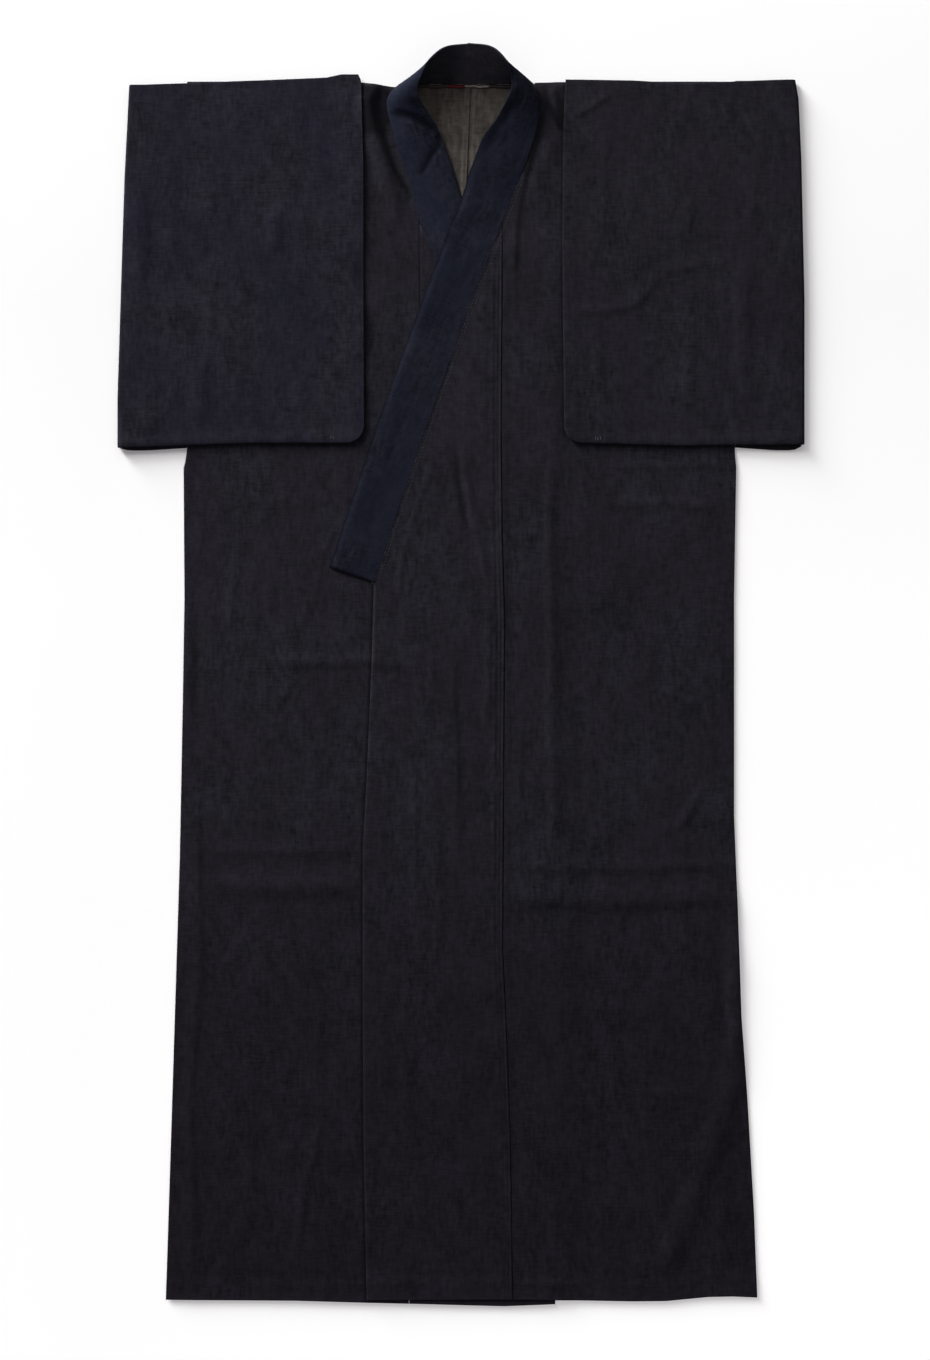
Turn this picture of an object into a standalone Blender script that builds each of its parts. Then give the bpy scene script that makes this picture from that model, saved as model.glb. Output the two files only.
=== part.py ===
"""A cotton yukata lying flat on its back, with both sleeves folded in over its fronts.

The robe is built from the pieces its maker cuts: two body lengths that run from the back hem, over
the shoulder, to the front hem; two overlap panels; two sleeves; one collar strip; and a stay tape
at the back of the neck. Each is one wall of cloth. The wearer's left front lies over the right one.

Modelling frame, in metres: X to the wearer's left, Y from hem to collar with 0 on the shoulder
line, Z up from the floor. "a" is the distance from the centre line towards a piece's own side, so
it is negative where a front crosses the centre. The last step moves the origin to the middle of
the robe's footprint on the floor.
"""

from collections import namedtuple

import bpy
import numpy as np

# ---------------------------------------------------------------- driving sizes
PLY = 0.0010  # one layer of cloth
GAP = 0.0003  # between pieces at a seam, and the least between layers
COLLAR_WALL = 0.0024  # the collar strip is folded double
SEAM_LAP = 0.005  # how far a panel's edge runs in under the collar
SEAM_SLACK = 0.0007  # more room between that edge and the collar
ARMHOLE = 0.323  # centre line to sleeve seam
NECK_POINT = 0.080  # centre line to the place where the shoulder fold ends at the collar
BACK_NECK = 0.0  # height of the back neckline's cut edge on the Y axis, in under the collar
NECK_SEAM = -0.003  # and of the collar's sewn edge there
NECK_CORNER = -0.018  # above this a front's inner edge stays inside the neck point
BACK_HEM = -1.433  # the back is cut a little shorter than the fronts
FRONT_HEM = -1.440  # the hem row of the tables; the hems' own shapes are below
OVERLAP_TOP = -0.163  # the point where an overlap panel starts, under the collar
COLLAR_END = -0.591  # where the collar strip stops and the free front edge begins
REST = 2 * PLY + GAP  # outer face of a front that lies straight on the back
AIR = 0.0006  # slack between a front and the back, away from the side seams
AIR_RISE = 0.040  # the width beside a side seam over which that slack grows
TAPE_SIZE = (0.104, 0.003)  # stay tape, length and width

# Levels of the upper layers.
PANEL_LIFT = 0.0017  # the left front where it lies on the right overlap panel
PANEL_SETTLE = 0.036  # and the width over which it comes down past that panel's free edge
COLLAR_LIFT = 0.0029  # the left front where the right half of the collar lies under it
COLLAR_SETTLE = (0.038, 0.096)  # distances from that collar's middle between which it comes down
UNDER_COLLAR = (-0.205, -0.165)  # the stretch over which the left overlap panel climbs onto the collar
BELOW_COLLAR = (-0.601, -0.661)  # and the one over which it comes down past the collar's end

# The soft ridge of cloth that stands beside the collar on each shoulder.
RIDGE_HEIGHT = 0.0048
RIDGE_OFFSET = 0.034
RIDGE_HALF_WIDTH = 0.013
RIDGE_LENGTH = (-0.200, -0.090)  # it grows from nothing to full height between these
RIDGE_FOOT = (0.45, 0.009)  # share of its height left at the front's inner edge, and over what width

# Sleeves.
SLEEVE_HALF = (2 * PLY + GAP) / 2  # half the thickness of the flat, two-ply sleeve
HOLLOW_HALF = GAP / 2
SLEEVE_AIR = 0.0013  # between a folded sleeve and the front under it
FOLD_RADIUS = 0.0040  # middle of the sleeve's two plies round the outer fold
OUTER_FOLD = 0.404  # centre line to that fold, at most
WRIST = 0.120  # centre line to the wrist edge, about
SLEEVE_SETTLE = (0.285, 0.400)  # distances from the centre line between which it rises to the fold
SLEEVE_CORNER = 0.020  # rounding of the lower wrist corner

# ---------------------------------------------------------------- tables of edges
# Each is a list of (y, a) rows from the shoulder to the hem.
RIGHT_SIDE_EDGE = [(0.0, ARMHOLE), (-0.442, ARMHOLE), (-0.457, 0.327), (-0.611, 0.326), (-0.729, 0.328),
                   (-0.918, 0.3316), (-1.107, 0.3375), (-1.296, 0.3434), (-1.440, 0.348)]
LEFT_SIDE_EDGE = [(0.0, ARMHOLE), (-0.442, ARMHOLE), (-0.457, 0.3245), (-0.611, 0.322), (-0.871, 0.322),
                  (-0.965, 0.3257), (-1.107, 0.3304), (-1.201, 0.3375), (-1.343, 0.3457), (-1.440, 0.3493)]
OVERLAP_SEAM = [(-0.157, 0.0496), (-0.411, 0.0478), (-0.529, 0.0490), (-0.635, 0.0520), (-0.835, 0.0507),
                (-1.024, 0.0496), (-1.142, 0.0550), (-1.260, 0.0590), (-1.440, 0.0614)]
FREE_EDGE = [(-0.591, -0.1035), (-0.688, -0.1060), (-0.825, -0.1120), (-0.906, -0.1168), (-1.083, -0.1168),
             (-1.260, -0.1150), (-1.440, -0.1110)]
CENTRE_BACK = [(0.0, 0.012), (-0.133, 0.007), (-0.500, 0.0), (-1.440, 0.0)]
# The shoulder folds, as (a, y) rows from the collar out.
RIGHT_SHOULDER = [(0.079, -0.0065), (0.119, -0.0010), (0.160, 0.0)]
LEFT_SHOULDER = [(0.079, -0.0015), (0.119, -0.0008), (0.160, 0.0)]
# Hems, as (x, y) rows from the wearer's right to the left.
UNDER_HEM = [(-0.348, -1.4363), (-0.195, -1.4372), (-0.113, -1.4396), (-0.037, -1.4413), (0.050, -1.4438),
             (0.110, -1.4413)]
OVER_HEM = [(-0.113, -1.4363), (0.061, -1.4353), (0.200, -1.4380), (0.242, -1.4376), (0.292, -1.4328),
            (0.320, -1.4322), (0.349, -1.4336)]
# Sleeves: the outer fold and the wrist edge as (y, a) rows, the top and bottom edges as (a, y) rows.
SleeveCut = namedtuple("SleeveCut", "fold wrist over_top over_bottom under_bottom")
RIGHT_SLEEVE = SleeveCut(
    fold=[(0.0, 0.3906), (-0.116, 0.3965), (-0.257, 0.4010), (-0.375, 0.4047), (-0.434, 0.4047)],
    wrist=[(0.008, 0.1225), (0.0, 0.1190), (-0.060, 0.1180), (-0.426, 0.1163)],
    over_top=[(0.118, 0.0078), (0.142, 0.0037), (0.234, 0.0003), (0.391, -0.0050)],
    over_bottom=[(0.116, -0.4270), (0.240, -0.4270), (0.340, -0.4300), (0.405, -0.4320)],
    under_bottom=[(0.323, -0.4320), (0.372, -0.4350), (0.395, -0.4350), (0.405, -0.4325)],
)
LEFT_SLEEVE = SleeveCut(
    fold=[(0.0, 0.3940), (-0.021, 0.3977), (-0.092, 0.4010), (-0.257, 0.4047), (-0.434, 0.4047)],
    wrist=[(0.004, 0.1239), (-0.067, 0.1209), (-0.190, 0.1204), (-0.426, 0.1227)],
    over_top=[(0.122, 0.0012), (0.189, 0.0002), (0.258, -0.0034), (0.336, -0.0005), (0.394, 0.0010)],
    over_bottom=[(0.121, -0.4270), (0.248, -0.4300), (0.325, -0.4288), (0.405, -0.4283)],
    under_bottom=[(0.323, -0.4315), (0.372, -0.4348), (0.395, -0.4348), (0.405, -0.4300)],
)

# ---------------------------------------------------------------- collar sections
# One row for each section of half the collar, from its end up to the centre back. (s_a, s_y) is on
# the sewn edge and (f_a, f_y) on the folded free edge. free_lift is how far the free edge stands
# above what it would lie on. The middle of the section is pulled out by out and back, and up by crest.
Section = namedtuple("Section", "s_a s_y f_a f_y free_lift out back crest")
COLLAR_HALF = [
    Section(-0.1020, -0.5910, -0.1550, -0.5730, 0.0, 0.0, 0.0, 0.0),
    Section(-0.0770, -0.5145, -0.1300, -0.4965, 0.0, 0.0, 0.0, 0.0),
    Section(-0.0320, -0.3835, -0.0850, -0.3650, 0.0, 0.0, 0.0, 0.0),
    Section(0.0150, -0.2550, -0.0370, -0.2350, 0.0, 0.0, 0.0, 0.0),
    Section(0.0480, -0.1680, -0.0040, -0.1490, 0.0, 0.0, 0.0, 0.0005),
    Section(0.0615, -0.1270, 0.0095, -0.1130, 0.0005, 0.0, 0.0, 0.0020),
    Section(0.0745, -0.0920, 0.0240, -0.0740, 0.0020, 0.0, 0.0, 0.0050),
    Section(0.0830, -0.0650, 0.0325, -0.0545, 0.0060, 0.002, 0.0, 0.0090),
    Section(0.0890, -0.0390, 0.0430, -0.0385, 0.0130, 0.007, 0.003, 0.0130),
    Section(0.0885, -0.0200, 0.0515, -0.0250, 0.0210, 0.010, 0.004, 0.0130),
    Section(0.0805, -0.0075, 0.0543, -0.0125, 0.0270, 0.011, 0.004, 0.0130),
    Section(0.0700, NECK_SEAM, 0.0500, 0.0030, 0.0320, 0.003, 0.008, 0.0140),
    Section(0.0560, NECK_SEAM, 0.0415, 0.0170, 0.0360, 0.0, 0.006, 0.0080),
    Section(0.0300, NECK_SEAM, 0.0260, 0.0290, 0.0380, 0.0, 0.002, 0.0030),
    Section(0.0, NECK_SEAM, 0.0, 0.0325, 0.0385, 0.0, 0.0, 0.0020),
]
# The neck opening lies a little to the wearer's left: (y, x) rows of its middle.
NECK_SHIFT = [(0.034, 0.0085), (0.003, 0.0068), (NECK_SEAM, 0.0066), (-0.0125, 0.0042), (-0.025, 0.0025),
              (-0.050, 0.0042), (-0.100, 0.0040), (-0.168, 0.0)]
# Round the nape the sewn edge lies on the back and not on the front: from where to where it changes over.
NAPE_Y = (-0.008, -0.0035)
NAPE_A = (NECK_POINT, NECK_POINT - 0.010)
COLLAR_STEPS = 3  # cross-sections for each row of the table
COLLAR_ACROSS = 7  # points from the sewn edge to the free edge
# Between these the free edge of the upper half of the collar crosses the lower half.
CROSSING = (-0.300, -0.260, -0.160, -0.125)
CROSSING_LIFT = 0.0033

# ---------------------------------------------------------------- grids
NEAR_COLLAR = [0.0, 0.007, 0.014, 0.023, 0.034, 0.046, 0.064]  # columns, as distances from the inner edge
FAR_COLUMNS = 6  # and from there to the side seam
BACK_NECK_COLUMNS = 3
BACK_ROWS = [1.0, 0.78, 0.55, 0.318, 0.305, 0.15, 0.06, 0.0]  # shares of the way from hem to shoulder fold
SHOULDER_ARC = [30.0, 60.0, 90.0, 120.0, 150.0]  # degrees round the shoulder fold
FRONT_ROWS = [-0.006, -0.018, -0.035, -0.055, -0.078, -0.102, -0.130, -0.157, -0.200, -0.250, -0.300,
              -0.360, -0.439, -0.457, -0.500, -0.591, -0.650, -0.679, -0.691, -0.703, -0.770, -0.860, -0.945,
              -0.971, -0.997, -1.080, -1.200, -1.330, -1.440]
OVERLAP_ROWS = [-0.163, -0.180, -0.200, -0.225, -0.250, -0.280, -0.320, -0.370, -0.420, -0.470, -0.520,
                -0.560, -0.588, -0.596, -0.640, -0.720, -0.810, -0.900, -0.990, -1.080, -1.200, -1.330,
                -1.440]
OVERLAP_COLUMNS = 6
SLEEVE_UNDER = [0.0, 0.4, 0.75, 1.0]  # shares of the way from armhole to outer fold
SLEEVE_ARC = [30.0, 60.0, 90.0, 120.0, 150.0]  # degrees round the outer fold
SLEEVE_OVER = [0.0, 0.07, 0.15, 0.23, 0.32, 0.42, 0.53, 0.64, 0.75, 0.84, 0.92]  # and back to the corner
CORNER_STEPS = [0.0, 30.0, 55.0, 75.0, 90.0]  # degrees round the lower wrist corner
SLEEVE_DOWN = 11  # points from a sleeve's top edge to its bottom edge
RIM = [45.0, 90.0, 135.0]  # degrees round a sleeve's top and bottom edges

# The largest creases in the fronts: a line from (x0, y0) to (x1, y1), its half width and its height.
CREASE_TAPER = 0.3  # share of a crease's length over which each end dies out
Crease = namedtuple("Crease", "x0 y0 x1 y1 half height")
RIGHT_CREASES = [Crease(-0.300, -0.691, -0.120, -0.691, 0.013, 0.0012)]
LEFT_CREASES = [Crease(0.075, -0.971, 0.280, -0.971, 0.024, 0.0014)]

# collar_roll is how far that half of the collar rolls outwards, as a share of out and back in its sections.
Side = namedtuple("Side", "name sign over collar_roll edge shoulder hem creases sleeve")
RIGHT = Side("right", -1, False, 0.4, RIGHT_SIDE_EDGE, RIGHT_SHOULDER, UNDER_HEM, RIGHT_CREASES, RIGHT_SLEEVE)
LEFT = Side("left", 1, True, 1.0, LEFT_SIDE_EDGE, LEFT_SHOULDER, OVER_HEM, LEFT_CREASES, LEFT_SLEEVE)

DENIM = (0.014, 0.013, 0.019, 1.0)
COLLAR_INDIGO = (0.010, 0.012, 0.021, 1.0)
TAPE_WHITE = (0.55, 0.50, 0.44, 1.0)


# ---------------------------------------------------------------- small tools
def look_up(rows, at):
    """The second column of a table at a value of its first column, straight between rows."""
    rows = sorted(rows)
    return np.interp(at, [row[0] for row in rows], [row[1] for row in rows])


def ease(start, stop, value):
    """0 up to start and 1 from stop, with a smooth rise between them."""
    share = np.clip((value - start) / (stop - start), 0.0, 1.0)
    return share * share * (3 - 2 * share)


def bump(distance, half_width):
    """1 on a line and 0 from half_width away, rounded at both ends."""
    return 1 - ease(0.0, half_width, np.abs(distance))


def collar_line(y, column):
    """The place, as a, of the sewn edge (s) or the free edge (f) of the collar's front half at y."""
    rows = [(getattr(s, column + "_y"), getattr(s, column + "_a")) for s in COLLAR_HALF[:10]]
    return look_up(rows, y)


def inner_edge(side, y):
    """The place, as a, of a front's inner edge: under the collar at the top, then the overlap seam."""
    shift = side.sign * look_up(NECK_SHIFT, y)
    under_collar = collar_line(y, "s") - SEAM_LAP + shift
    at_corner = np.minimum(NECK_POINT + shift, under_collar)
    under_collar = np.where(y > NECK_CORNER, at_corner, under_collar)
    seam = look_up(OVERLAP_SEAM, y)
    return np.where(y > OVERLAP_TOP, np.maximum(under_collar, seam), seam)


def down_front(side, nominal, x):
    """Height on the Y axis of a front's row, from the shoulder fold (0) to the hem (FRONT_HEM)."""
    shoulder = look_up(side.shoulder, side.sign * x)
    return shoulder + nominal * (look_up(side.hem, x) - shoulder) / FRONT_HEM


def crease_height(creases, x, y):
    """The summed height of the creases at x, y."""
    height = np.zeros(np.broadcast(x, y).shape)
    for c in creases:
        length = np.hypot(c.x1 - c.x0, c.y1 - c.y0)
        along = ((x - c.x0) * (c.x1 - c.x0) + (y - c.y0) * (c.y1 - c.y0)) / length
        across = ((x - c.x0) * (c.y1 - c.y0) - (y - c.y0) * (c.x1 - c.x0)) / length
        fade = length * CREASE_TAPER
        taper = ease(0.0, fade, along) * (1 - ease(length - fade, length, along))
        height = height + c.height * bump(across, c.half) * taper
    return height


def front_top(side, x, y):
    """Height of the outer face of a side's front and overlap panel at x, y."""
    a = side.sign * x
    top = REST + AIR * ease(0.0, AIR_RISE, look_up(side.edge, y) - a) + crease_height(side.creases, x, y)
    from_edge = a - inner_edge(side, y)
    ridge = np.exp(-(((from_edge - RIDGE_OFFSET) / RIDGE_HALF_WIDTH) ** 2))
    ridge = np.maximum(ridge, RIDGE_FOOT[0] * np.exp(-((from_edge / RIDGE_FOOT[1]) ** 2)))
    top = top + RIDGE_HEIGHT * ridge * ease(*RIDGE_LENGTH, y)
    if side.over:
        past_edge = a + look_up(FREE_EDGE, y)
        lift = PANEL_LIFT * (1 - ease(0.0, PANEL_SETTLE, past_edge))
        collar_middle = -(collar_line(y, "s") + collar_line(y, "f")) / 2
        beside_collar = ease(*COLLAR_SETTLE, np.abs(a - collar_middle))
        lift = lift + COLLAR_LIFT * (1 - beside_collar) * (1 - ease(*BELOW_COLLAR, y))
        top = top + lift * ease(*UNDER_COLLAR[::-1], y)
    return top


# ---------------------------------------------------------------- making objects
def material(name, colour, roughness):
    """A cloth material."""
    made = bpy.data.materials.new(name)
    made.use_nodes = True
    shader = made.node_tree.nodes["Principled BSDF"]
    shader.inputs["Base Color"].default_value = colour
    shader.inputs["Roughness"].default_value = roughness
    shader.inputs["Metallic"].default_value = 0.0
    made.diffuse_color = colour
    return made


def grid_faces(rows, columns, keep=None):
    """Quads of a grid of points, numbered row by row. keep is an optional mask of the cells."""
    faces = []
    for row in range(rows - 1):
        for column in range(columns - 1):
            if keep is None or keep[row][column]:
                first = row * columns + column
                faces.append((first, first + 1, first + columns + 1, first + columns))
    return faces


def new_object(name, points, faces, cloth):
    """A mesh object of these points and faces, without the points that no face uses."""
    used = sorted({index for face in faces for index in face})
    number = {old: new for new, old in enumerate(used)}
    mesh = bpy.data.meshes.new(name)
    mesh.from_pydata([points[i] for i in used], [], [[number[i] for i in face] for face in faces])
    mesh.materials.append(cloth)
    made = bpy.data.objects.new(name, mesh)
    bpy.context.scene.collection.objects.link(made)
    return made


def add_wall(made, thickness, offset):
    """Thickens a sheet of faces. offset -1 goes in from the face, and 0 to both sides."""
    solidify = made.modifiers.new("cloth", "SOLIDIFY")
    solidify.thickness = thickness
    solidify.offset = offset
    solidify.use_even_offset = True
    solidify.use_rim = True


def sheet_object(name, points, keep, turned, thickness, offset, cloth):
    """A wall of cloth on a grid of points. turned swaps which side of the grid is the cloth's face."""
    rows, columns = points.shape[:2]
    faces = grid_faces(rows, columns, keep)
    if turned:
        faces = [face[::-1] for face in faces]
    made = new_object(name, points.reshape(-1, 3).tolist(), faces, cloth)
    add_wall(made, thickness, offset)
    return made


# ---------------------------------------------------------------- the pieces
def body_length(side, cloth):
    """One body length: back, shoulder fold and front. The grid is the cloth's outer face."""
    fractions = np.linspace(0.0, 1.0, FAR_COLUMNS + 1)[1:]
    near = np.array(NEAR_COLLAR)

    def front_columns(y):
        """The a of each column of the front at y, from the side seam in to the inner edge."""
        inner = float(inner_edge(side, y))
        start = inner + near[-1]
        far = start + (float(look_up(side.edge, y)) - start) * fractions
        return np.concatenate([far[::-1], (inner + near)[::-1]])

    shoulder_a = front_columns(0.0)
    neck_a = shoulder_a[-1]
    centre_a = side.sign * look_up(CENTRE_BACK, 0.0) + GAP / 2
    neck_columns = np.linspace(neck_a, centre_a, BACK_NECK_COLUMNS + 1)[1:]
    columns = len(shoulder_a) + len(neck_columns)
    fold_radius = front_top(side, side.sign * shoulder_a, 0.0) / 2
    shoulder_y = look_up(side.shoulder, shoulder_a)

    rows, mask = [], []
    for share in BACK_ROWS:
        row = []
        for column in range(columns):
            on_fold = column < len(shoulder_a)
            top = shoulder_y[column] - fold_radius[column] if on_fold else BACK_NECK
            y = top + (BACK_HEM - top) * share
            edge = float(look_up(side.edge, y))
            centre = side.sign * float(look_up(CENTRE_BACK, y)) + GAP / 2
            neck = neck_a + (centre - centre_a) * share
            if on_fold:
                a = neck + (edge - neck) * (shoulder_a[column] - neck_a) / (shoulder_a[0] - neck_a)
            else:
                a = neck + (centre - neck) * (column - len(shoulder_a) + 1) / BACK_NECK_COLUMNS
            row.append((side.sign * a, y, 0.0))
        rows.append(row)
        mask.append([True] * (columns - 1))
    fold_only = [column < len(shoulder_a) - 1 for column in range(columns - 1)]
    mask[-1] = fold_only
    blanks = [(0.0, 0.0, 0.0)] * len(neck_columns)
    for degrees in SHOULDER_ARC:
        turn = np.radians(degrees)
        y = shoulder_y - fold_radius + fold_radius * np.sin(turn)
        z = fold_radius * (1 - np.cos(turn))
        rows.append(list(zip(side.sign * shoulder_a, y, z)) + blanks)
        mask.append(fold_only)
    for nominal in FRONT_ROWS:
        a = front_columns(nominal)
        x = side.sign * a
        y = down_front(side, nominal, x)
        rows.append(list(zip(x, y, front_top(side, x, y))) + blanks)
        mask.append(fold_only)
    points = np.array(rows, float)
    return sheet_object("body_" + side.name, points, mask[:-1], side.sign < 0, PLY, -1.0, cloth)


def overlap_panel(side, cloth):
    """The panel between a front and the collar, ending in the free front edge below it."""
    rows = []
    for nominal in OVERLAP_ROWS:
        seam = float(look_up(OVERLAP_SEAM, nominal)) - GAP
        if nominal > COLLAR_END:
            inner = float(collar_line(nominal, "s")) - SEAM_LAP
        else:
            inner = float(look_up(FREE_EDGE, nominal))
        a = seam + (inner - seam) * np.linspace(0.0, 1.0, OVERLAP_COLUMNS + 1)
        x = side.sign * a
        y = down_front(side, nominal, x)
        rows.append(list(zip(x, y, front_top(side, x, y))))
    return sheet_object("overlap_" + side.name, np.array(rows, float), None, side.sign < 0, PLY, -1.0, cloth)


def tube_loop(half, top, bottom):
    """Once round a flat tube: places down it, from top to bottom and back, and off its middle surface."""
    down = np.linspace(top - SLEEVE_HALF, bottom + SLEEVE_HALF, SLEEVE_DOWN)
    turn = np.radians(RIM)
    y = np.concatenate([down, down[-1] - half * np.sin(turn), down[::-1], down[0] + half * np.sin(turn)])
    straight = np.full(SLEEVE_DOWN, half)
    off = np.concatenate([straight, half * np.cos(turn), -straight, -half * np.cos(turn)])
    return y, off


def sleeve_under(side, share, half):
    """A loop of the part that lies on the floor, a share of the way from the armhole to the outer fold."""
    cut = side.sleeve
    nominal = ARMHOLE + (OUTER_FOLD - ARMHOLE) * share
    y, off = tube_loop(half, look_up(cut.over_top, OUTER_FOLD), look_up(cut.under_bottom, nominal))
    start = ARMHOLE + GAP
    end = look_up(cut.fold, y) - FOLD_RADIUS - SLEEVE_HALF
    return start + (end - start) * share, y, SLEEVE_HALF - off


def sleeve_fold(side, degrees, half):
    """A loop on the outer fold, turned by degrees from the floor."""
    cut = side.sleeve
    y, off = tube_loop(half, look_up(cut.over_top, OUTER_FOLD), look_up(cut.over_bottom, OUTER_FOLD))
    turn = np.radians(degrees)
    a = look_up(cut.fold, y) - FOLD_RADIUS - SLEEVE_HALF + (FOLD_RADIUS + off) * np.sin(turn)
    return a, y, SLEEVE_HALF + FOLD_RADIUS - (FOLD_RADIUS + off) * np.cos(turn)


def sleeve_over(side, share, corner, half):
    """A loop of the part that lies on the front, a share of the way from the outer fold to the wrist.

    At share 1 the rounded lower corner begins, and corner is the turn round it in degrees.
    """
    cut = side.sleeve
    nominal = OUTER_FOLD + (WRIST - OUTER_FOLD) * share
    bottom = look_up(cut.over_bottom, nominal) + SLEEVE_CORNER * (1 - np.cos(np.radians(corner)))
    y, off = tube_loop(half, look_up(cut.over_top, nominal), bottom)
    start = look_up(cut.fold, y) - FOLD_RADIUS - SLEEVE_HALF
    end = look_up(cut.wrist, y) + SLEEVE_CORNER * (1 - np.sin(np.radians(corner)))
    a = start + (end - start) * share
    on_front = front_top(side, side.sign * np.minimum(a, look_up(side.edge, y)), y)
    lying = on_front + SLEEVE_AIR + SLEEVE_HALF
    at_fold = SLEEVE_HALF + 2 * FOLD_RADIUS
    return a, y, lying + (at_fold - lying) * ease(*SLEEVE_SETTLE, a) + off


def sleeve(side, cloth):
    """A sleeve: a flat tube of two plies, from the armhole out to its fold and back over the front."""
    skins = []
    for half in (SLEEVE_HALF, HOLLOW_HALF):
        loops = [sleeve_under(side, share, half) for share in SLEEVE_UNDER]
        loops += [sleeve_fold(side, degrees, half) for degrees in SLEEVE_ARC]
        loops += [sleeve_over(side, share, 0.0, half) for share in SLEEVE_OVER]
        loops += [sleeve_over(side, 1.0, corner, half) for corner in CORNER_STEPS]
        skins.append(np.array([np.stack([side.sign * a, y, z], axis=1) for a, y, z in loops]))

    count = skins[0].shape[1]
    stations = skins[0].shape[0]
    outside = stations * count
    faces = []
    for round_it in range(count):
        after = (round_it + 1) % count
        for along in range(stations - 1):
            here = along * count
            faces.append((here + round_it, here + after, here + count + after, here + count + round_it))
            faces.append(tuple(outside + corner for corner in faces[-1][::-1]))
        last = outside - count
        faces.append((outside + round_it, outside + after, after, round_it))
        faces.append((last + round_it, last + after, outside + last + after, outside + last + round_it))
    if side.sign > 0:
        faces = [face[::-1] for face in faces]
    points = np.concatenate(skins).reshape(-1, 3).tolist()
    return new_object("sleeve_" + side.name, points, faces, cloth)


def collar_half(side):
    """Sections (sewn edge, middle, free edge) of half the collar, from its end to the nape."""
    rows = []
    for s in map(Section._make, smooth_between(COLLAR_HALF, COLLAR_STEPS)):
        sewn_x = side.sign * s.s_a + look_up(NECK_SHIFT, s.s_y)
        free_x = side.sign * s.f_a + look_up(NECK_SHIFT, s.f_y)
        on_back = PLY + GAP + COLLAR_WALL / 2
        inside = sewn_x + side.sign * SEAM_LAP / 2
        on_front = float(front_top(side, inside, min(s.s_y, 0.0))) + GAP + SEAM_SLACK + COLLAR_WALL / 2
        at_nape = ease(*NAPE_Y, s.s_y) * ease(*NAPE_A, s.s_a)
        sewn_z = on_front + (on_back + GAP - on_front) * at_nape
        free_z = on_back + AIR
        if side.over:
            free_z += PLY + GAP + AIR
            window = ease(CROSSING[0], CROSSING[1], s.f_y) * (1 - ease(CROSSING[2], CROSSING[3], s.f_y))
            free_z += CROSSING_LIFT * window
        free_z += s.free_lift
        middle = (
            (sewn_x + free_x) / 2 + side.sign * s.out * side.collar_roll,
            (s.s_y + s.f_y) / 2 + s.back * side.collar_roll,
            (sewn_z + free_z) / 2 + s.crest,
        )
        rows.append([(sewn_x, s.s_y, sewn_z), middle, (free_x, s.f_y, free_z)])
    return rows


def smooth_between(rows, steps):
    """Passes a smooth (Catmull-Rom) line through the rows of a table, with steps to each span."""
    rows = np.array(rows, float)
    ends = np.concatenate([[2 * rows[0] - rows[1]], rows, [2 * rows[-1] - rows[-2]]])
    found = []
    for index in range(1, len(ends) - 2):
        before, start, stop, after = ends[index - 1 : index + 3]
        for t in np.arange(steps) / steps:
            found.append(0.5 * (2 * start + (stop - before) * t
                                + (2 * before - 5 * start + 4 * stop - after) * t ** 2
                                + (3 * start - before - 3 * stop + after) * t ** 3))
    found.append(rows[-1])
    return np.array(found)


def collar(cloth):
    """The collar: a strip folded double, up the left front, round the nape and down the right front."""
    sections = np.array(collar_half(LEFT) + collar_half(RIGHT)[-2::-1], float)
    share = np.linspace(0.0, 1.0, COLLAR_ACROSS)[None, :, None]
    sewn, middle, free = (sections[:, index][:, None, :] for index in range(3))
    points = (1 - share) ** 2 * sewn + 2 * share * (1 - share) * middle + share ** 2 * free
    return sheet_object("collar", points, None, False, COLLAR_WALL, 0.0, cloth)


def neck_tape(cloth):
    """The narrow stay tape inside the back neck, just under the collar."""
    length, width = TAPE_SIZE
    middle = look_up(NECK_SHIFT, NECK_SEAM)
    bottom = PLY + GAP
    x = middle + length * np.array([-0.5, 0.5])
    top = NECK_SEAM - COLLAR_WALL / 2 - GAP
    y = np.array([top - width, top])
    corners = [(x[0], y[0]), (x[1], y[0]), (x[1], y[1]), (x[0], y[1])]
    points = [(px, py, bottom) for px, py in corners]
    made = new_object("neck_tape", points, [(0, 1, 2, 3)], cloth)
    add_wall(made, PLY, 1.0)
    return made


def centre_on_floor(objects):
    """Moves every piece so that the origin is under the middle of the robe, on the floor."""
    bpy.context.view_layer.update()
    graph = bpy.context.evaluated_depsgraph_get()
    corners = []
    for made in objects:
        mesh = made.evaluated_get(graph).to_mesh()
        points = np.empty(len(mesh.vertices) * 3, np.float32)
        mesh.vertices.foreach_get("co", points)
        corners.append(points.reshape(-1, 3).min(axis=0))
        corners.append(points.reshape(-1, 3).max(axis=0))
        made.evaluated_get(graph).to_mesh_clear()
    low, high = np.min(corners, axis=0), np.max(corners, axis=0)
    for made in objects:
        made.location = (-(low[0] + high[0]) / 2, -(low[1] + high[1]) / 2, -low[2])


def main():
    """Builds the robe."""
    for old in list(bpy.data.objects):
        bpy.data.objects.remove(old)
    denim = material("denim", DENIM, 0.9)
    indigo = material("collar_indigo", COLLAR_INDIGO, 0.9)
    tape = material("tape_white", TAPE_WHITE, 0.8)
    pieces = []
    for side in (RIGHT, LEFT):
        pieces += [body_length(side, denim), overlap_panel(side, denim), sleeve(side, denim)]
    pieces += [collar(indigo), neck_tape(tape)]
    for made in pieces:
        made.data.shade_smooth()
    centre_on_floor(pieces)


main()
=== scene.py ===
"""A cotton yukata laid flat on its back: the finished cloth, its sewing, the floor and the light.

The pattern is drawn on the robe's own plan, in metres: x to the wearer's left, y from the hem to the
collar with 0 on the shoulder line, z up from the floor. "a" is the distance from the centre line
towards a piece's own side. Every point is moved to the frame's origin as its mesh is made.
"""

from __future__ import annotations

import logging
from dataclasses import dataclass, field
from enum import Enum
from typing import Any, Sequence

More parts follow.
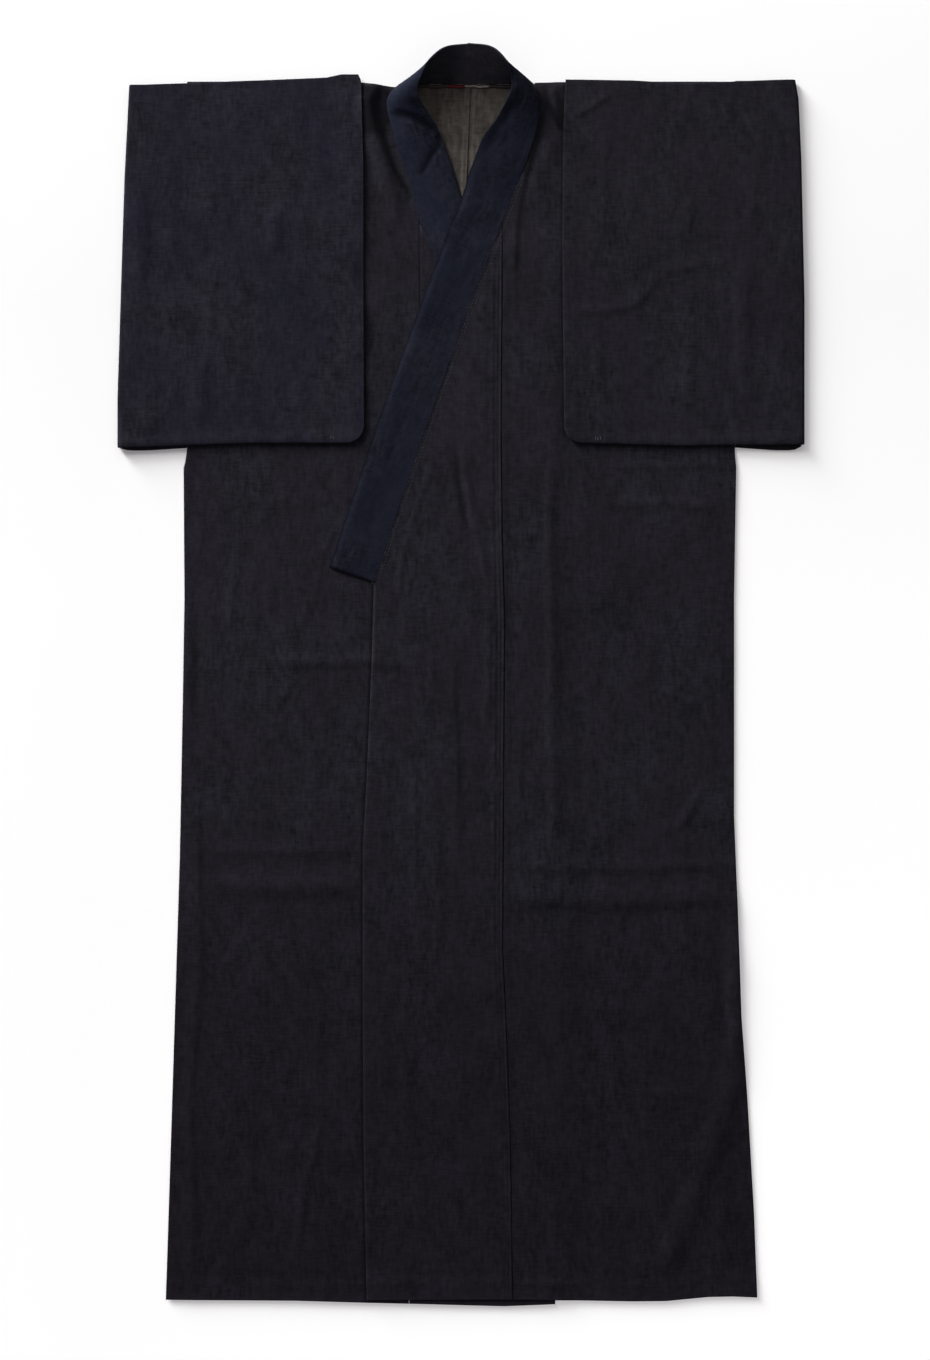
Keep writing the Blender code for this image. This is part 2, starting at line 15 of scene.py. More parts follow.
import bpy
import numpy as np
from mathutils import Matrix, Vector
from numpy.typing import NDArray


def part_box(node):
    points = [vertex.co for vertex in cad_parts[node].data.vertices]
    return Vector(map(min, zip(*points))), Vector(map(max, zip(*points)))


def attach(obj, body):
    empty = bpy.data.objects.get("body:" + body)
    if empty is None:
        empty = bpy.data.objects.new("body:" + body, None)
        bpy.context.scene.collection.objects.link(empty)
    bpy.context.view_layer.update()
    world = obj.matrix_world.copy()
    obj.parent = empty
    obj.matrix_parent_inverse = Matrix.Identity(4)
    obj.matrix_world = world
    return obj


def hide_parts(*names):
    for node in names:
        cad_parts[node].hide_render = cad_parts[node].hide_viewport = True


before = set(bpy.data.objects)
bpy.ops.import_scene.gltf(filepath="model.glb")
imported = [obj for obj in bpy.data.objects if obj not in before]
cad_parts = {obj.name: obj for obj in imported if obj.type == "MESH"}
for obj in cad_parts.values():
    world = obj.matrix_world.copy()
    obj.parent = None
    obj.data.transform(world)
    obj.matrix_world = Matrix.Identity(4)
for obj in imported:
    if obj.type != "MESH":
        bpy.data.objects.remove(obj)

Array = NDArray[np.float64]
Pair = tuple[float, float]
Rows = Sequence[Pair]
Rows3 = Sequence[tuple[float, float, float]]
Triple = tuple[float, float, float]
Four = tuple[float, float, float, float]
Colour = Four
Mask = NDArray[np.bool_]
Indices = NDArray[np.int64]
Material = bpy.types.Material
Node = bpy.types.Node
Object = bpy.types.Object
Socket = bpy.types.NodeSocket
Tree = bpy.types.NodeTree

MM = 0.001
log = logging.getLogger("yukata")


# ---------------------------------------------------------------- small tools
def look_up(rows: Rows, at: Array | float) -> Array:
    """The value at each place in a table of (place, value) rows, straight between its rows."""
    table = np.array(sorted(rows))
    return np.interp(at, table[:, 0], table[:, 1])


def ease(start: float, stop: float, value: Array | float) -> Array:
    """A smooth step, 3s^2 - 2s^3: 0 up to start and 1 from stop, which may be the lower of the two."""
    share = np.clip((value - start) / (stop - start), 0.0, 1.0)
    return share * share * (3 - 2 * share)


def window(places: Sequence[float], value: Array | float) -> Array:
    """A smooth rise from the first place to the second, and a smooth fall from the third to the last."""
    return ease(places[0], places[1], value) * ease(places[3], places[2], value)


def rounded(distance: Array, radius: float) -> Array:
    """A quarter circle: 0 on an edge, rising as a circle does to 1 at radius from it."""
    share = 1 - np.clip(distance / radius, 0.0, 1.0)
    return np.sqrt(1 - share * share)


def bell_falloff(distance: Array, reach: float = 0.0011) -> Array:
    """Bell falloff exp(-(distance / reach)^2): for rubbing, painted shade, painted highlights and ridges."""
    return np.exp(-((distance / reach) ** 2))


def ripple(x: Array, y: Array, wavelength: float, seed: int, sines: int = 7) -> Array:
    """Uneven waves: the mean of several sines that differ in direction, length and phase.

    Args:
        x: Places across.
        y: Places along.
        wavelength: The waves' mean length.
        seed: The set of directions, lengths and phases.
        sines: How many sines there are.

    Returns:
        The height at each place, mostly between -0.5 and 0.5.
    """
    random = np.random.default_rng(seed)
    total = np.zeros(np.broadcast(x, y).shape)
    for _ in range(sines):
        turn, phase = random.uniform(0, np.pi), random.uniform(0, 2 * np.pi)
        length = wavelength * random.uniform(0.6, 1.6)
        total += np.sin(2 * np.pi * (x * np.cos(turn) + y * np.sin(turn)) / length + phase)
    return total / sines


def puckers(along: Array, spacing: float, seed: int, sines: int = 3) -> Array:
    """Uneven gathers along a line: a few sines of different lengths, times a slow one.

    Args:
        along: Places along the line.
        spacing: Mean distance between gathers.
        seed: The set of lengths and phases.
        sines: How many sines there are beside the slow one.

    Returns:
        The height at each place, from about -1 to 1.
    """
    random = np.random.default_rng(seed)
    total = np.zeros(along.shape)
    for _ in range(sines):
        length = spacing * random.uniform(0.7, 1.6)
        total += np.sin(2 * np.pi * along / length + random.uniform(0, 2 * np.pi)) / sines
    slow = np.sin(2 * np.pi * along / (spacing * 9.3) + random.uniform(0, 2 * np.pi))
    return total * (0.6 + 0.4 * slow)


@dataclass(frozen=True)
class EdgeMark:
    """A mark beside an edge: its share at its middle, the middle's distance from the edge, and its reach.

    Above 0 it is paler: rubbing, in places also a painted highlight where an edge faces the light. Below 0
    it is painted shade: darker where shade falls beside an edge, in a crevice or under a fold.
    """

    share: float
    middle: float = 0.0
    reach: float = 0.0011

    def at(self, distance: Array) -> Array:
        """The mark at each distance from the edge: share * exp(-((distance - middle) / reach)^2)."""
        return self.share * bell_falloff(distance - self.middle, self.reach)


@dataclass(frozen=True)
class Crease:
    """One soft fold of the cloth, along a line on the plan. Sizes are in millimetres.

    path is the x and y of each of its points. The height is that of its middle, and negative for a trough.
    half is half its width, fade the share of its length over which each end dies out, and lean from -1 to
    1 makes one flank steeper.
    """

    path: tuple[float, ...]
    height: float
    half: float
    fade: float = 0.3
    lean: float = 0.0

    def relief(self, x: Array, y: Array) -> Array:
        """Height over the plan: height * (1 - ease(distance / half width)), faded at both ends.

        The distance is to the nearest of the runs between the path's points.

        Args:
            x: Places across.
            y: Places along.

        Returns:
            The height at each place.
        """
        points = np.array(self.path).reshape(-1, 2) * MM
        steps = np.diff(points, axis=0)
        runs = np.hypot(steps[:, 0], steps[:, 1])
        starts = np.concatenate([[0.0], np.cumsum(runs)])
        across = np.full(np.broadcast(x, y).shape, np.inf)
        place = np.zeros(across.shape)
        for (px, py), (sx, sy), run, start in zip(points, steps, runs, starts):
            held = np.clip(((x - px) * sx + (y - py) * sy) / run**2, 0.0, 1.0)
            dx, dy = x - px - held * sx, y - py - held * sy
            turned = np.where(dx * sy - dy * sx < 0, -1.0, 1.0) * np.hypot(dx, dy)
            nearer = np.abs(turned) < np.abs(across)
            across = np.where(nearer, turned, across)
            place = np.where(nearer, start + held * run, place)
        half = self.half * MM * (1 + self.lean * np.sign(across))
        fade = self.fade * starts[-1]
        ends = window((0.0, fade, starts[-1] - fade, starts[-1]), place)
        return self.height * MM * (1 - ease(0.0, 1.0, np.abs(across) / half)) * ends


def folds(*rows: tuple[Any, ...]) -> tuple[Crease, ...]:
    """Creases from rows of a path, a height, half a width and, where they aren't usual, a fade and a lean."""
    return tuple(Crease(*row) for row in rows)


def relief_of(creases: Sequence[Crease], x: Array, y: Array) -> Array:
    """The summed height of these creases over the plan, in metres."""
    return sum((crease.relief(x, y) for crease in creases), np.zeros(np.broadcast(x, y).shape))


# ---------------------------------------------------------------- the cut
@dataclass(frozen=True)
class Wall:
    """Thicknesses and gaps that the pieces share, and how a wall is thinned beside its edges."""

    ply: float = 0.0010
    gap: float = 0.0003
    collar: float = 0.0024
    air: float = 0.0006
    air_rise: float = 0.040
    edge_share: float = 0.3
    edge_round: float = 0.0010

    @property
    def rest(self) -> float:
        """Outer face of a front that lies straight on the back."""
        return 2 * self.ply + self.gap

    def thinned(self, *distances: Array) -> Array:
        """The share of its thickness that a wall keeps at these distances from its edges."""
        nearest = np.maximum(np.minimum.reduce(distances), 0.0)
        return self.edge_share + (1 - self.edge_share) * rounded(nearest, self.edge_round)


WALL = Wall()


@dataclass(frozen=True)
class SleeveCut:
    """A sleeve's outline: its outer fold and wrist as (y, a) rows, its long edges as (a, y) rows.

    lift is how far the wrist's edge stands up at each y, and curl how far the lower edge does, both in
    millimetres. rub_and_highlight is the mark along the wrist's edge: rubbing, and on the left sleeve, whose
    wrist edge faces the light, also a painted highlight.
    """

    fold: Rows
    wrist: Rows
    over_top: Rows
    over_bottom: Rows
    under_bottom: Rows
    lift: Rows
    curl: float
    rub_and_highlight: EdgeMark
    creases: tuple[Crease, ...]


@dataclass(frozen=True)
class SideCut:
    """What differs between the wearer's right and left.

    line is the (y, a) line on the front along which another piece's edge lies, and sleeve_painted_shade the
    painted shade along it below the sleeve, where the sleeve's edge shades the front. ridge is the height of
    the soft ridge beside the collar. painted_shades are painted shade along paths where shade falls, whose
    height is a share of darkening.
    """

    name: str
    sign: int
    over: bool
    collar_roll: float
    ridge: float
    edge: Rows
    shoulder: Rows
    hem: Rows
    line: Rows
    sleeve_painted_shade: EdgeMark
    large: tuple[Crease, ...]
    fine: tuple[Crease, ...]
    painted_shades: tuple[Crease, ...]
    under: tuple[Crease, ...]
    sleeve: SleeveCut
    seed: int


RIGHT_SLEEVE = SleeveCut(
    fold=[(0.0, 0.3906), (-0.116, 0.3965), (-0.257, 0.4010), (-0.375, 0.4047), (-0.434, 0.4047)],
    wrist=[(0.008, 0.1212), (0.0, 0.1176), (-0.060, 0.1160), (-0.100, 0.1150), (-0.205, 0.1150),
           (-0.426, 0.1143)],
    over_top=[(0.118, 0.0078), (0.142, 0.0037), (0.234, 0.0003), (0.391, -0.0050)],
    over_bottom=[(0.116, -0.4270), (0.240, -0.4270), (0.340, -0.4300), (0.405, -0.4320)],
    under_bottom=[(0.323, -0.4320), (0.372, -0.4350), (0.395, -0.4350), (0.405, -0.4325)],
    lift=[(-0.002, 0), (-0.045, 0), (-0.074, 0.4), (-0.098, 2.3), (-0.122, 2.4), (-0.145, 1.2),
          (-0.169, 0.8), (-0.192, 1.4), (-0.212, 0.2), (-0.229, -0.6), (-0.255, -0.6), (-0.271, 1.9),
          (-0.299, 2.7), (-0.316, 1.4), (-0.330, 0.6), (-0.349, 1), (-0.369, 2.1), (-0.405, 2)],
    curl=0.6,
    rub_and_highlight=EdgeMark(0.30, 0.0, 0.0016),
    creases=folds(
        ((-382, -92, -378, -198, -385, -316), 1.7, 18),
        ((-304, -314, -307, -358, -306, -411), 1.8, 22),
        ((-219, -143, -218, -208), 1.5, 11),
        ((-294, -1, -235, -2), 0.6, 6),
        ((-324, -132, -268, -133), 0.6, 4),
        ((-194, -349, -191, -392), 0.9, 13),
        ((-367, -387, -371, -422), 1, 18),
        ((-343, -33, -341, -127, -346, -257), 0.5, 14),
        ((-297, -243, -293, -310), 1, 12),
        ((-169, -45, -166, -139), 0.5, 12),
        ((-137, -9, -136, -80, -137, -139), 0.5, 10),
        ((-195, -212, -190, -257), 0.6, 8),
        ((-137, -281, -140, -352), 0.5, 10),
    ),
)
LEFT_SLEEVE = SleeveCut(
    fold=[(0.0, 0.3940), (-0.021, 0.3977), (-0.092, 0.4010), (-0.257, 0.4047), (-0.434, 0.4047)],
    wrist=[(0.004, 0.1232), (-0.067, 0.1202), (-0.190, 0.1195), (-0.426, 0.1216)],
    over_top=[(0.122, 0.0012), (0.189, 0.0002), (0.258, -0.0034), (0.336, -0.0005), (0.394, 0.0010)],
    over_bottom=[(0.121, -0.4270), (0.248, -0.4300), (0.325, -0.4288), (0.405, -0.4283)],
    under_bottom=[(0.323, -0.4315), (0.372, -0.4348), (0.395, -0.4348), (0.405, -0.4300)],
    lift=[(0.0, 0.4), (-0.120, 0.2), (-0.200, 0.5), (-0.300, 0.7), (-0.400, 0.8)],
    curl=0.3,
    # Rubbing along the wrist's edge, stronger than on the right sleeve as a painted highlight: this edge
    # faces the light.
    rub_and_highlight=EdgeMark(0.65, 0.0, 0.0016),
    creases=folds(
        ((131, -44, 145, -38, 155, -31, 164, -24, 179, -17), 1.2, 7, 0.2, -0.4),
        ((168, -64, 169, -122, 168, -179), 0.7, 8),
        ((131, -273, 171, -271, 202, -266, 218, -251, 229, -236, 244, -224), 1.05, 10.5, 0.16, -0.3),
        ((223, -236, 249, -223, 282, -218, 335, -214), 0.6, 11, 0.25, -0.3),
        ((350, -76, 352, -116), 0.8, 9),
        ((343, -104, 342, -181), 1.1, 10),
        ((315, -17, 316, -57), 0.7, 8),
        ((240, -35, 273, -35), 0.6, 7),
        ((268, -137, 269, -172), 0.6, 7),
        ((334, -184, 332, -281, 335, -385), 1.5, 17),
        ((169, -382, 170, -422), 0.6, 12),
        ((162, -304, 164, -375), 0.7, 9),
        ((270, -293, 263, -387), 0.6, 9),
        ((148, -212, 197, -212), 0.4, 7),
        ((371, -293, 388, -375), 0.5, 14),
        ((199, -310, 242, -304), 0.6, 8),
    ),
)
RIGHT = SideCut(
    name="right",
    sign=-1,
    over=False,
    collar_roll=0.4,
    ridge=0.0050,
    edge=[(0.0, 0.323), (-0.442, 0.323), (-0.457, 0.327), (-0.611, 0.326), (-0.729, 0.328),
          (-0.918, 0.3316), (-1.107, 0.3375), (-1.296, 0.3434), (-1.440, 0.348)],
    shoulder=[(0.079, -0.0065), (0.119, -0.0010), (0.160, 0.0)],
    hem=[(-0.348, -1.4363), (-0.195, -1.4372), (-0.113, -1.4396), (-0.037, -1.4413), (0.050, -1.4438),
         (0.110, -1.4413)],
    line=[(0.0, 0.1190), (-0.060, 0.1180), (-0.426, 0.1163), (-0.591, 0.1026), (-0.688, 0.1054),
          (-0.825, 0.1113),
          (-0.906, 0.1157), (-1.083, 0.1158), (-1.260, 0.1147), (-1.440, 0.1112)],
    # Painted shade on the front beside the sleeve's wrist edge, where the edge shades it.
    sleeve_painted_shade=EdgeMark(-0.3, -0.003, 0.0030),
    large=folds(
        ((-240, -686, -190, -687, -140, -686, -63, -684), 1.2, 12, 0.28, -0.4),
    ),
    fine=folds(
        ((-207, -839.5, -166, -839.5), -0.30, 1.8),
        ((-205, -843.5, -170, -843.5), -0.25, 1.6),
        ((-299, -493, -249, -496, -214, -498, -176, -496, -131, -487), 0.8, 17, 0.3, -0.2),
        ((-135, -451, -133, -493), 0.8, 6),
        ((-256, -460, -255, -500), 0.6, 8),
        ((-307, -460, -306, -503), 0.6, 7),
        ((-308, -517, -307, -555), 0.6, 7),
        ((-212, -503, -194, -465), 0.8, 5),
        ((-270, -559, -271, -611, -269, -664), 0.8, 11),
        ((-140, -519, -156, -540, -165, -560, -170, -597, -182, -625, -190, -651), 0.6, 8),
        ((-322, -607, -321, -682, -321, -771), 0.9, 12, 0.2),
        ((-199, -706, -221, -746), 0.8, 5),
        ((-175, -761, -156, -762), 0.7, 4),
        ((-179, -787, -160, -788), 0.6, 4),
        ((-317, -907, -214, -909, -112, -906), 0.8, 10, 0.2, -0.4),
        ((-304, -923, -214, -924, -107, -922), -0.5, 9),
        ((-308, -946, -202, -950, -103, -946), 1.7, 19, 0.2, 0.1),
        ((-312, -835, -310, -906, -307, -1001, -310, -1083, -320, -1201, -317, -1260, -314, -1319, -316,
          -1378, -317, -1435), 1.2, 11, 0.08, 0.45),
        ((-163, -1192, -171, -1260, -183, -1298, -190, -1357, -198, -1388), 1, 7),
        ((-169, -1095, -165, -1178), 0.5, 9),
        ((-254, -1195, -249, -1296, -254, -1390), 0.5, 14),
        ((-235, -1036, -240, -1142), 0.5, 12),
        ((-223, -564, -228, -658), 0.4, 9),
        ((-143, -824, -145, -906), 0.5, 8),
        ((-275, -847, -277, -897), 0.5, 6),
    ),
    # Painted shade beside the collar, the sleeve and folds; the last two paths darken the upper front and the
    # hem.
    painted_shades=folds(
        ((-100, -21, -97, -41, -92, -63, -87, -80, -83, -92, -77, -107, -70, -118, -63, -131, -57, -143),
          1, 7, 0.12),
        ((-112, 26, -110, -21, -103, -68), 0.95, 34, 0.1),
        ((-83, 7, -85, -21, -87, -54), 0.8, 9, 0.12),
        ((-316, -611, -315, -682, -317, -771), 0.35, 7),
        ((-65, -177, -81, -281, -100, -413), 0.15, 42, 0.15),
        ((-426, -1392, -78, -1390), 0.14, 62, 0.03),
    ),
    under=folds(
        ((-60, -380, -130, -430, -240, -440), 0.35, 12),
        ((-180, -700, -60, -730), 0.3, 14),
        ((-240, -1020, -236, -1200, -250, -1330), 0.3, 11),
        ((-90, -900, -84, -1050), 0.25, 9),
    ),
    sleeve=RIGHT_SLEEVE,
    seed=11,
)
LEFT = SideCut(
    name="left",
    sign=1,
    over=True,
    collar_roll=1.0,
    ridge=0.0016,
    edge=[(0.0, 0.323), (-0.442, 0.323), (-0.457, 0.3245), (-0.611, 0.322), (-0.871, 0.322),
          (-0.965, 0.3257), (-1.107, 0.3304), (-1.201, 0.3375), (-1.343, 0.3457), (-1.440, 0.3493)],
    shoulder=[(0.079, -0.0015), (0.119, -0.0008), (0.160, 0.0)],
    hem=[(-0.113, -1.4363), (0.061, -1.4353), (0.200, -1.4380), (0.242, -1.4376), (0.292, -1.4328),
         (0.320, -1.4322), (0.349, -1.4336)],
    line=[(0.0, 0.1225), (-0.067, 0.1209), (-0.190, 0.1204), (-0.426, 0.1227), (-0.600, 0.1120),
          (-1.440, 0.1120)],
    # Painted shade on the front beside the sleeve's wrist edge, where the edge shades it.
    sleeve_painted_shade=EdgeMark(-0.55, -0.0012, 0.0026),
    large=folds(
        ((48, -963, 117, -966, 211, -968, 327, -962), 1.5, 20, 0.16, -0.3),
        ((-155, -684, -100, -684, -37, -689), 1.1, 12, 0.35),
        ((-143, -670, -100, -670, -58, -673, -22, -676), 0.6, 8),
    ),
    fine=folds(
        ((2, -362, 2, -420), -0.3, 3.5),
        ((62, -386, 62, -419), -0.35, 4),
        ((-7, -418, -2, -465, 6, -518, 14, -552), -0.6, 6, 0.2),
        ((0, -411, 5, -465, 14, -518, 25, -564, 33, -611, 32, -670, 31, -729, 27, -776), 1.3, 9, 0.12,
          -0.4),
        ((46, -434, 47, -540, 45, -670), 0.7, 8, 0.2, -0.2),
        ((70, -717, 71, -788, 68, -861), 0.6, 5),
        ((110, -418, 104, -493, 103, -540, 106, -611, 109, -717), 1.25, 11, 0.25, -0.1),
        ((109, -635, 106, -688, 104, -729, 105, -776, 109, -824, 107, -930), 1.5, 13, 0.25, -0.3),
        ((65, -537, 101, -533), 0.9, 4),
        ((159, -452, 211, -453, 270, -453, 332, -450), 0.9, 7),
        ((162, -496, 235, -498, 326, -503), 1.1, 12),
        ((295, -455, 327, -455), 0.7, 3.5),
        ((287, -826, 273, -854, 254, -887), 1.15, 10.5, 0.3),
        ((-35, -658, -34, -732), 0.7, 7),
        ((-32, -437, -40, -470, -52, -507, -63, -540, -71, -573, -74, -621), 0.6, 7, 0.2),
        ((-53, -800, -54, -906, -52, -991), 0.6, 5),
        ((55, -927, 188, -929, 317, -926), 0.9, 10, 0.15, -0.5),
        ((190, -1195, 289, -1195), 0.5, 9, 0.3, -0.3),
        ((327, -932, 328, -1036, 329, -1130, 324, -1172, 312, -1207, 295, -1260, 277, -1307, 264, -1345,
          243, -1395, 230, -1418), 2, 23, 0.1),
        ((321, -995, 322, -1083, 321, -1172), 1.9, 14, 0.3, -0.2),
        ((-30, -847, -25, -965, -31, -1071), 0.5, 10),
        ((-70, -1095, -65, -1201), 0.5, 9),
        ((188, -1036, 181, -1154, 185, -1248), 0.6, 14),
    ),
    # Painted shade beside the collar, the sleeve, folds and the overlap's seam, and in patches above the hem.
    painted_shades=folds(
        ((112, -7, 116, -31, 122, -61), 1.2, 7.5, 0.15),
        ((96, -2, 103, -26, 111, -42, 119, -60), 0.9, 7, 0.15),
        ((100, -17, 97, -47, 91, -71, 84, -90, 78, -111, 72, -137, 68, -168, 65, -234), 0.95, 6, 0.12),
        ((65, -198, 64, -257, 63, -304), 0.45, 6, 0.3),
        ((-8, -430, -4, -476, 6, -531), 0.66, 6.5),
        ((54, -540, 54, -629, 55, -729), 0.35, 3),
        ((-4, -647, -5, -729, -2, -800, 0, -920), 0.55, 6.5),
        ((1, -1286, 0, -1362), 0.4, 5),
        ((-6, -1378, 15, -1381), 0.4, 9),
    ),
    under=folds(
        ((50, -350, 120, -420, 230, -450), 0.35, 12),
        ((70, -640, 190, -655), 0.3, 13),
        ((220, -900, 228, -1060, 214, -1200), 0.3, 11),
        ((80, -1180, 77, -1340), 0.25, 9),
    ),
    sleeve=LEFT_SLEEVE,
    seed=23,
)

# Columns: s_a s_y (sewn edge), f_a f_y (free edge), free_lift, out, back, crest.
COLLAR_ROWS = [
    (-0.1020, -0.5910, -0.1550, -0.5730, 0.0, 0.0, 0.0, 0.0),
    (-0.0770, -0.5145, -0.1300, -0.4965, 0.0, 0.0, 0.0, 0.0),
    (-0.0320, -0.3835, -0.0850, -0.3650, 0.0, 0.0, 0.0, 0.0),
    (0.0150, -0.2550, -0.0370, -0.2350, 0.0, 0.0, 0.0, 0.0),
    (0.0480, -0.1680, -0.0040, -0.1490, 0.0, 0.0, 0.0, 0.0005),
    (0.0615, -0.1270, 0.0095, -0.1130, 0.0005, 0.0, 0.0, 0.0020),
    (0.0745, -0.0920, 0.0240, -0.0740, 0.0020, 0.0, 0.0, 0.0050),
    (0.0830, -0.0650, 0.0325, -0.0545, 0.0060, 0.002, 0.0, 0.0090),
    (0.0890, -0.0390, 0.0430, -0.0385, 0.0130, 0.007, 0.003, 0.0130),
    (0.0885, -0.0200, 0.0515, -0.0250, 0.0210, 0.010, 0.004, 0.0130),
    (0.0805, -0.0075, 0.0543, -0.0125, 0.0270, 0.011, 0.004, 0.0130),
    (0.0700, -0.003, 0.0500, 0.0030, 0.0320, 0.003, 0.008, 0.0140),
    (0.0560, -0.003, 0.0415, 0.0170, 0.0360, 0.0, 0.006, 0.0080),
    (0.0300, -0.003, 0.0260, 0.0290, 0.0380, 0.0, 0.002, 0.0030),
    (0.0, -0.003, 0.0, 0.0325, 0.0385, 0.0, 0.0, 0.0020),
]


@dataclass(frozen=True)
class Plan:
    """Lines that the pieces share, and how high the layers lie."""

    neck_point: float = 0.080
    neck_corner: float = -0.018
    back_hem: float = -1.433
    front_hem: float = -1.440
    hem_steps: tuple[float, ...] = (0.0022, 0.0012, 0.0006, 0.0002, 0.0)
    hem_space: float = 0.002
    overlap_top: float = -0.163
    collar_end: float = -0.591
    seam_lap: float = 0.005
    panel_lift: float = 0.0017
    panel_settle: float = 0.036
    collar_lift: float = 0.0029
    collar_settle: Pair = (0.038, 0.096)
    under_collar: Pair = (-0.165, -0.205)
    below_collar: Pair = (-0.601, -0.661)
    ridge_offset: float = 0.0275
    ridge_half: Pair = (0.0085, 0.0130)
    ridge_length: Pair = (-0.190, -0.095)
    ridge_foot: Pair = (0.12, 0.009)
    overlap_seam: Rows = (
        (-0.157, 0.0496), (-0.411, 0.0478), (-0.529, 0.0490), (-0.635, 0.0520), (-0.835, 0.0507),
        (-1.024, 0.0496), (-1.142, 0.0550), (-1.260, 0.0590), (-1.440, 0.0614),
    )
    free_edge: Rows = (
        (-0.591, -0.1026), (-0.688, -0.1054), (-0.825, -0.1113), (-0.906, -0.1157), (-1.083, -0.1158),
        (-1.260, -0.1147), (-1.440, -0.1112),
    )
    centre_back: Rows = ((0.0, 0.012), (-0.133, 0.007), (-0.500, 0.0), (-1.440, 0.0))
    neck_shift: Rows = (
        (0.034, 0.0085), (0.003, 0.0068), (-0.003, 0.0066), (-0.0125, 0.0042), (-0.025, 0.0025),
        (-0.050, 0.0042), (-0.100, 0.0040), (-0.168, 0.0),
    )

    def rows_down(self, start: float, count: int) -> Array:
        """Even rows from start down to just above the hem, and close ones down to it."""
        hem = self.front_hem + np.array(self.hem_steps)
        return np.concatenate([np.linspace(start, hem[0] + self.hem_space, count), hem])

    def collar_line(self, y: Array | float, free: bool) -> Array:
        """The place, as a, of the collar's free or sewn edge on the front at y."""
        a, at = (2, 3) if free else (0, 1)
        return look_up([(row[at], row[a]) for row in COLLAR_ROWS[:10]], y)

    def centre(self, side: SideCut, y: Array | float) -> Array:
        """The place, as a, of the back's centre line at y."""
        return side.sign * look_up(self.centre_back, y)

    def inner_edge(self, side: SideCut, y: Array | float) -> Array:
        """A front's inner edge: under the collar at the top, then the overlap's seam.

        Args:
            side: The front's side.
            y: Places along.

        Returns:
            The edge's a at each y.
        """
        shift = side.sign * look_up(self.neck_shift, y)
        under = self.collar_line(y, False) - self.seam_lap + shift
        at_corner = np.minimum(self.neck_point + shift, under)
        under = np.where(y > self.neck_corner, at_corner, under)
        seam = look_up(self.overlap_seam, y)
        return np.where(y > self.overlap_top, np.maximum(under, seam), seam)

    def panel_edge(self, y: Array | float) -> Array:
        """The place, as a, of an overlap panel's inner edge: under the collar, then the free edge."""
        under = self.collar_line(y, False) - self.seam_lap
        return np.where(y > self.collar_end, under, look_up(self.free_edge, y))

    def down_front(self, side: SideCut, nominal: Array, x: Array) -> Array:
        """Height on the plan of a front's row, from the shoulder fold (0) to the hem (front_hem)."""
        shoulder = look_up(side.shoulder, side.sign * x)
        return shoulder + nominal * (look_up(side.hem, x) - shoulder) / self.front_hem

    def front_top(self, side: SideCut, x: Array, y: Array) -> Array:
        """Height of a front's and its overlap panel's outer face, without the fine creases.

        It sums two plies and the air between them, the soft ridge beside the collar, the large creases and,
        on the upper front, the rise over the panel and the collar under it.

        Args:
            side: The front's side.
            x: Places across.
            y: Places along.

        Returns:
            The height above the floor at each place.
        """
        a = side.sign * x
        top = WALL.rest + WALL.air * ease(0.0, WALL.air_rise, look_up(side.edge, y) - a)
        top = top + relief_of(side.large, x, y)
        from_edge = a - self.inner_edge(side, y)
        half = np.where(from_edge < self.ridge_offset, *self.ridge_half)
        share, width = self.ridge_foot
        ridge = np.maximum(bell_falloff(from_edge - self.ridge_offset, half), share * bell_falloff(from_edge, width))
        top = top + side.ridge * ridge * ease(*self.ridge_length, y)
        if side.over:
            lift = self.panel_lift * (1 - ease(0.0, self.panel_settle, a + look_up(self.free_edge, y)))
            middle = -(self.collar_line(y, False) + self.collar_line(y, True)) / 2
            beside = ease(*self.collar_settle, np.abs(a - middle))
            lift = lift + self.collar_lift * (1 - beside) * (1 - ease(*self.below_collar, y))
            top = top + lift * ease(*self.under_collar, y)
        return top


PLAN = Plan()


